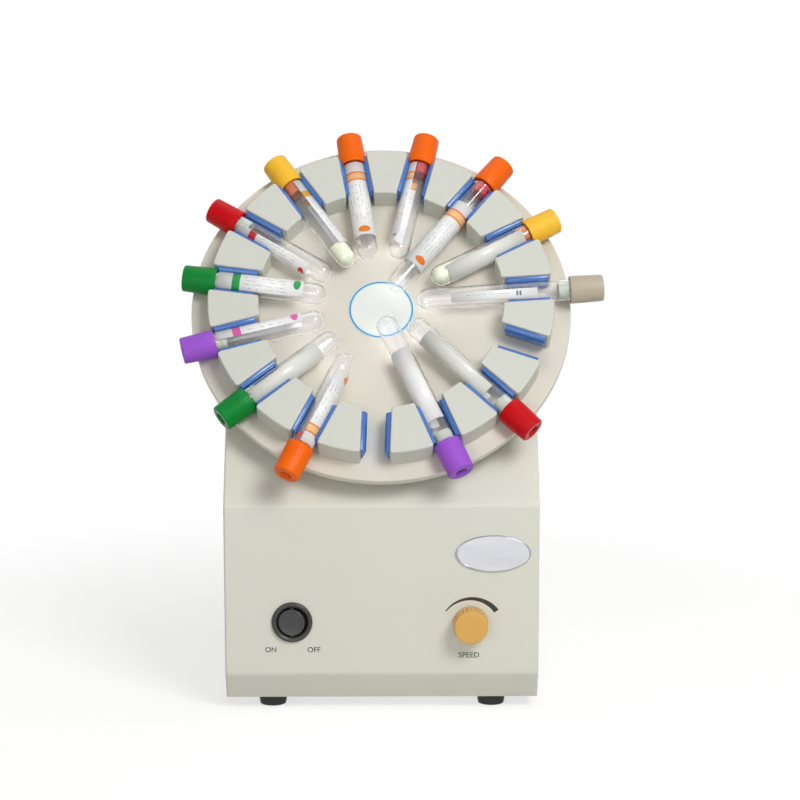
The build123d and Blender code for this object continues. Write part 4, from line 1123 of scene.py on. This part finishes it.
def printWords(name, words, place, height):
    data = bpy.data.curves.new(name, "FONT")
    data.body = words
    data.size = height / 0.70
    data.align_x = "CENTER"
    data.align_y = "CENTER"
    data.extrude = speedArc["ink"] / 2
    data.offset = height * 0.012
    text = bpy.data.objects.new(name, data)
    bpy.context.scene.collection.objects.link(text)
    graph = bpy.context.evaluated_depsgraph_get()
    mesh = bpy.data.meshes.new_from_object(text.evaluated_get(graph))
    bpy.data.objects.remove(text)
    bpy.data.curves.remove(data)
    mesh.transform(panelPlace(place[0], place[1], speedArc["ink"] / 2))
    mesh.materials.clear()
    mesh.materials.append(printInk)
    piece = bpy.data.objects.new(name, mesh)
    bpy.context.scene.collection.objects.link(piece)
    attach(piece, "base")


def makeSpeedArc():
    # a curved wedge that widens the way the knob turns
    s = speedArc
    bm = bmesh.new()
    pairs = []
    for step in range(s["steps"] + 1):
        share = step / s["steps"]
        angle = math.radians(s["from"] + (s["to"] - s["from"]) * share)
        half = (s["thin"] + (s["thick"] - s["thin"]) * share) / 2
        ways = ((s["radius"] - half), (s["radius"] + half))
        pairs.append([bm.verts.new((r * math.cos(angle), r * math.sin(angle), 0)) for r in ways])
    for (a, b), (c, d) in zip(pairs, pairs[1:]):
        bm.faces.new((a, b, d, c))
    raised = bmesh.ops.extrude_face_region(bm, geom=bm.faces[:])["geom"]
    top = [part for part in raised if isinstance(part, bmesh.types.BMVert)]
    bmesh.ops.translate(bm, vec=(0, 0, s["ink"]), verts=top)
    piece = addPiece(bm, "speedArc", printInk, "base", panelPlace(*s["centre"]))


makeSwitch()
makeRocker()
makeKnob()
makeBadge()
for name, item in panelPrint.items():
    printWords("print" + item["words"].title(), item["words"], item["place"], item["height"])
makeSpeedArc()
print("controls, badge and print made")

# ---- finishes of the CAD nodes that stay

inlet = {
    "middle": (-0.052, 0.042),
    "mouthFloor": 0.0871,
    "pins": ((0.0, 0.002), (-0.007, -0.002), (0.007, -0.002)),
    "halfPin": (0.0011, 0.0021),
}


def makeInletPlastic():
    # black plastic, with bright metal on the three pins in its mouth
    material, tree, shader = newMaterial("inletPlastic")
    s = inlet
    coords = addNode(tree, "ShaderNodeTexCoord").outputs["Object"]
    parts = addNode(tree, "ShaderNodeSeparateXYZ", {0: coords})
    onPins = 0.0
    for x, z in s["pins"]:
        x += s["middle"][0]
        z += s["middle"][1]
        onPin = maths(tree, "MULTIPLY",
                      within(tree, parts.outputs[0], x - s["halfPin"][0], x + s["halfPin"][0]),
                      within(tree, parts.outputs[2], z - s["halfPin"][1], z + s["halfPin"][1]))
        onPins = maths(tree, "MAXIMUM", onPin, onPins)
    inMouth = maths(tree, "GREATER_THAN", parts.outputs[1], s["mouthFloor"])
    onPins = maths(tree, "MULTIPLY", onPins, inMouth)
    cloud = noiseOf(tree, 50, 4.0)
    plastic = mixColours(tree, cloud, linear("2C2C28"), linear("373731"))
    metal = mixColours(tree, cloud, linear("C4C2B8"), linear("D6D4CA"))
    tree.links.new(mixColours(tree, onPins, plastic, metal), shader.inputs["Base Color"])
    tree.links.new(onPins, shader.inputs["Metallic"])
    setGloss(tree, shader, noiseOf(tree, 1500, 2.0), 0.26, 0.38)
    return material


nodeFinishes = {
    "housing_shell": housingPaint,
    "base_plate": zincSheet,
    "rear_panel": housingPaint,
    "rubber_feet": footRubber,
    "foot_screws": screwSteel,
    "case_screws": screwSteel,
    "bearing_housing": aluminium,
    "spindle_bearings": turnedSteel,
    "bearing_screws": screwSteel,
    "motor_plate": zincSheet,
    "motor_pillars": turnedSteel,
    "pillar_screws": screwSteel,
    "gearbox": zincSheet,
    "motor": turnedSteel,
    "speed_control": blackPlastic,
    "control_nut": screwSteel,
    "control_board": circuitBoard,
    "board_standoffs": nylon,
    "power_inlet": makeInletPlastic(),
    "block_screws": screwSteel,
    "hub": aluminium,
    "hub_screws": screwSteel,
    "spindle": turnedSteel,
    "shaft_coupling": aluminium,
    "gearbox_shaft": turnedSteel,
    "control_shaft": turnedSteel,
}
for nodeName, finish in nodeFinishes.items():
    for materialSlot in frame["nodes"][nodeName].material_slots:
        materialSlot.material = finish
print("frame nodes finished")
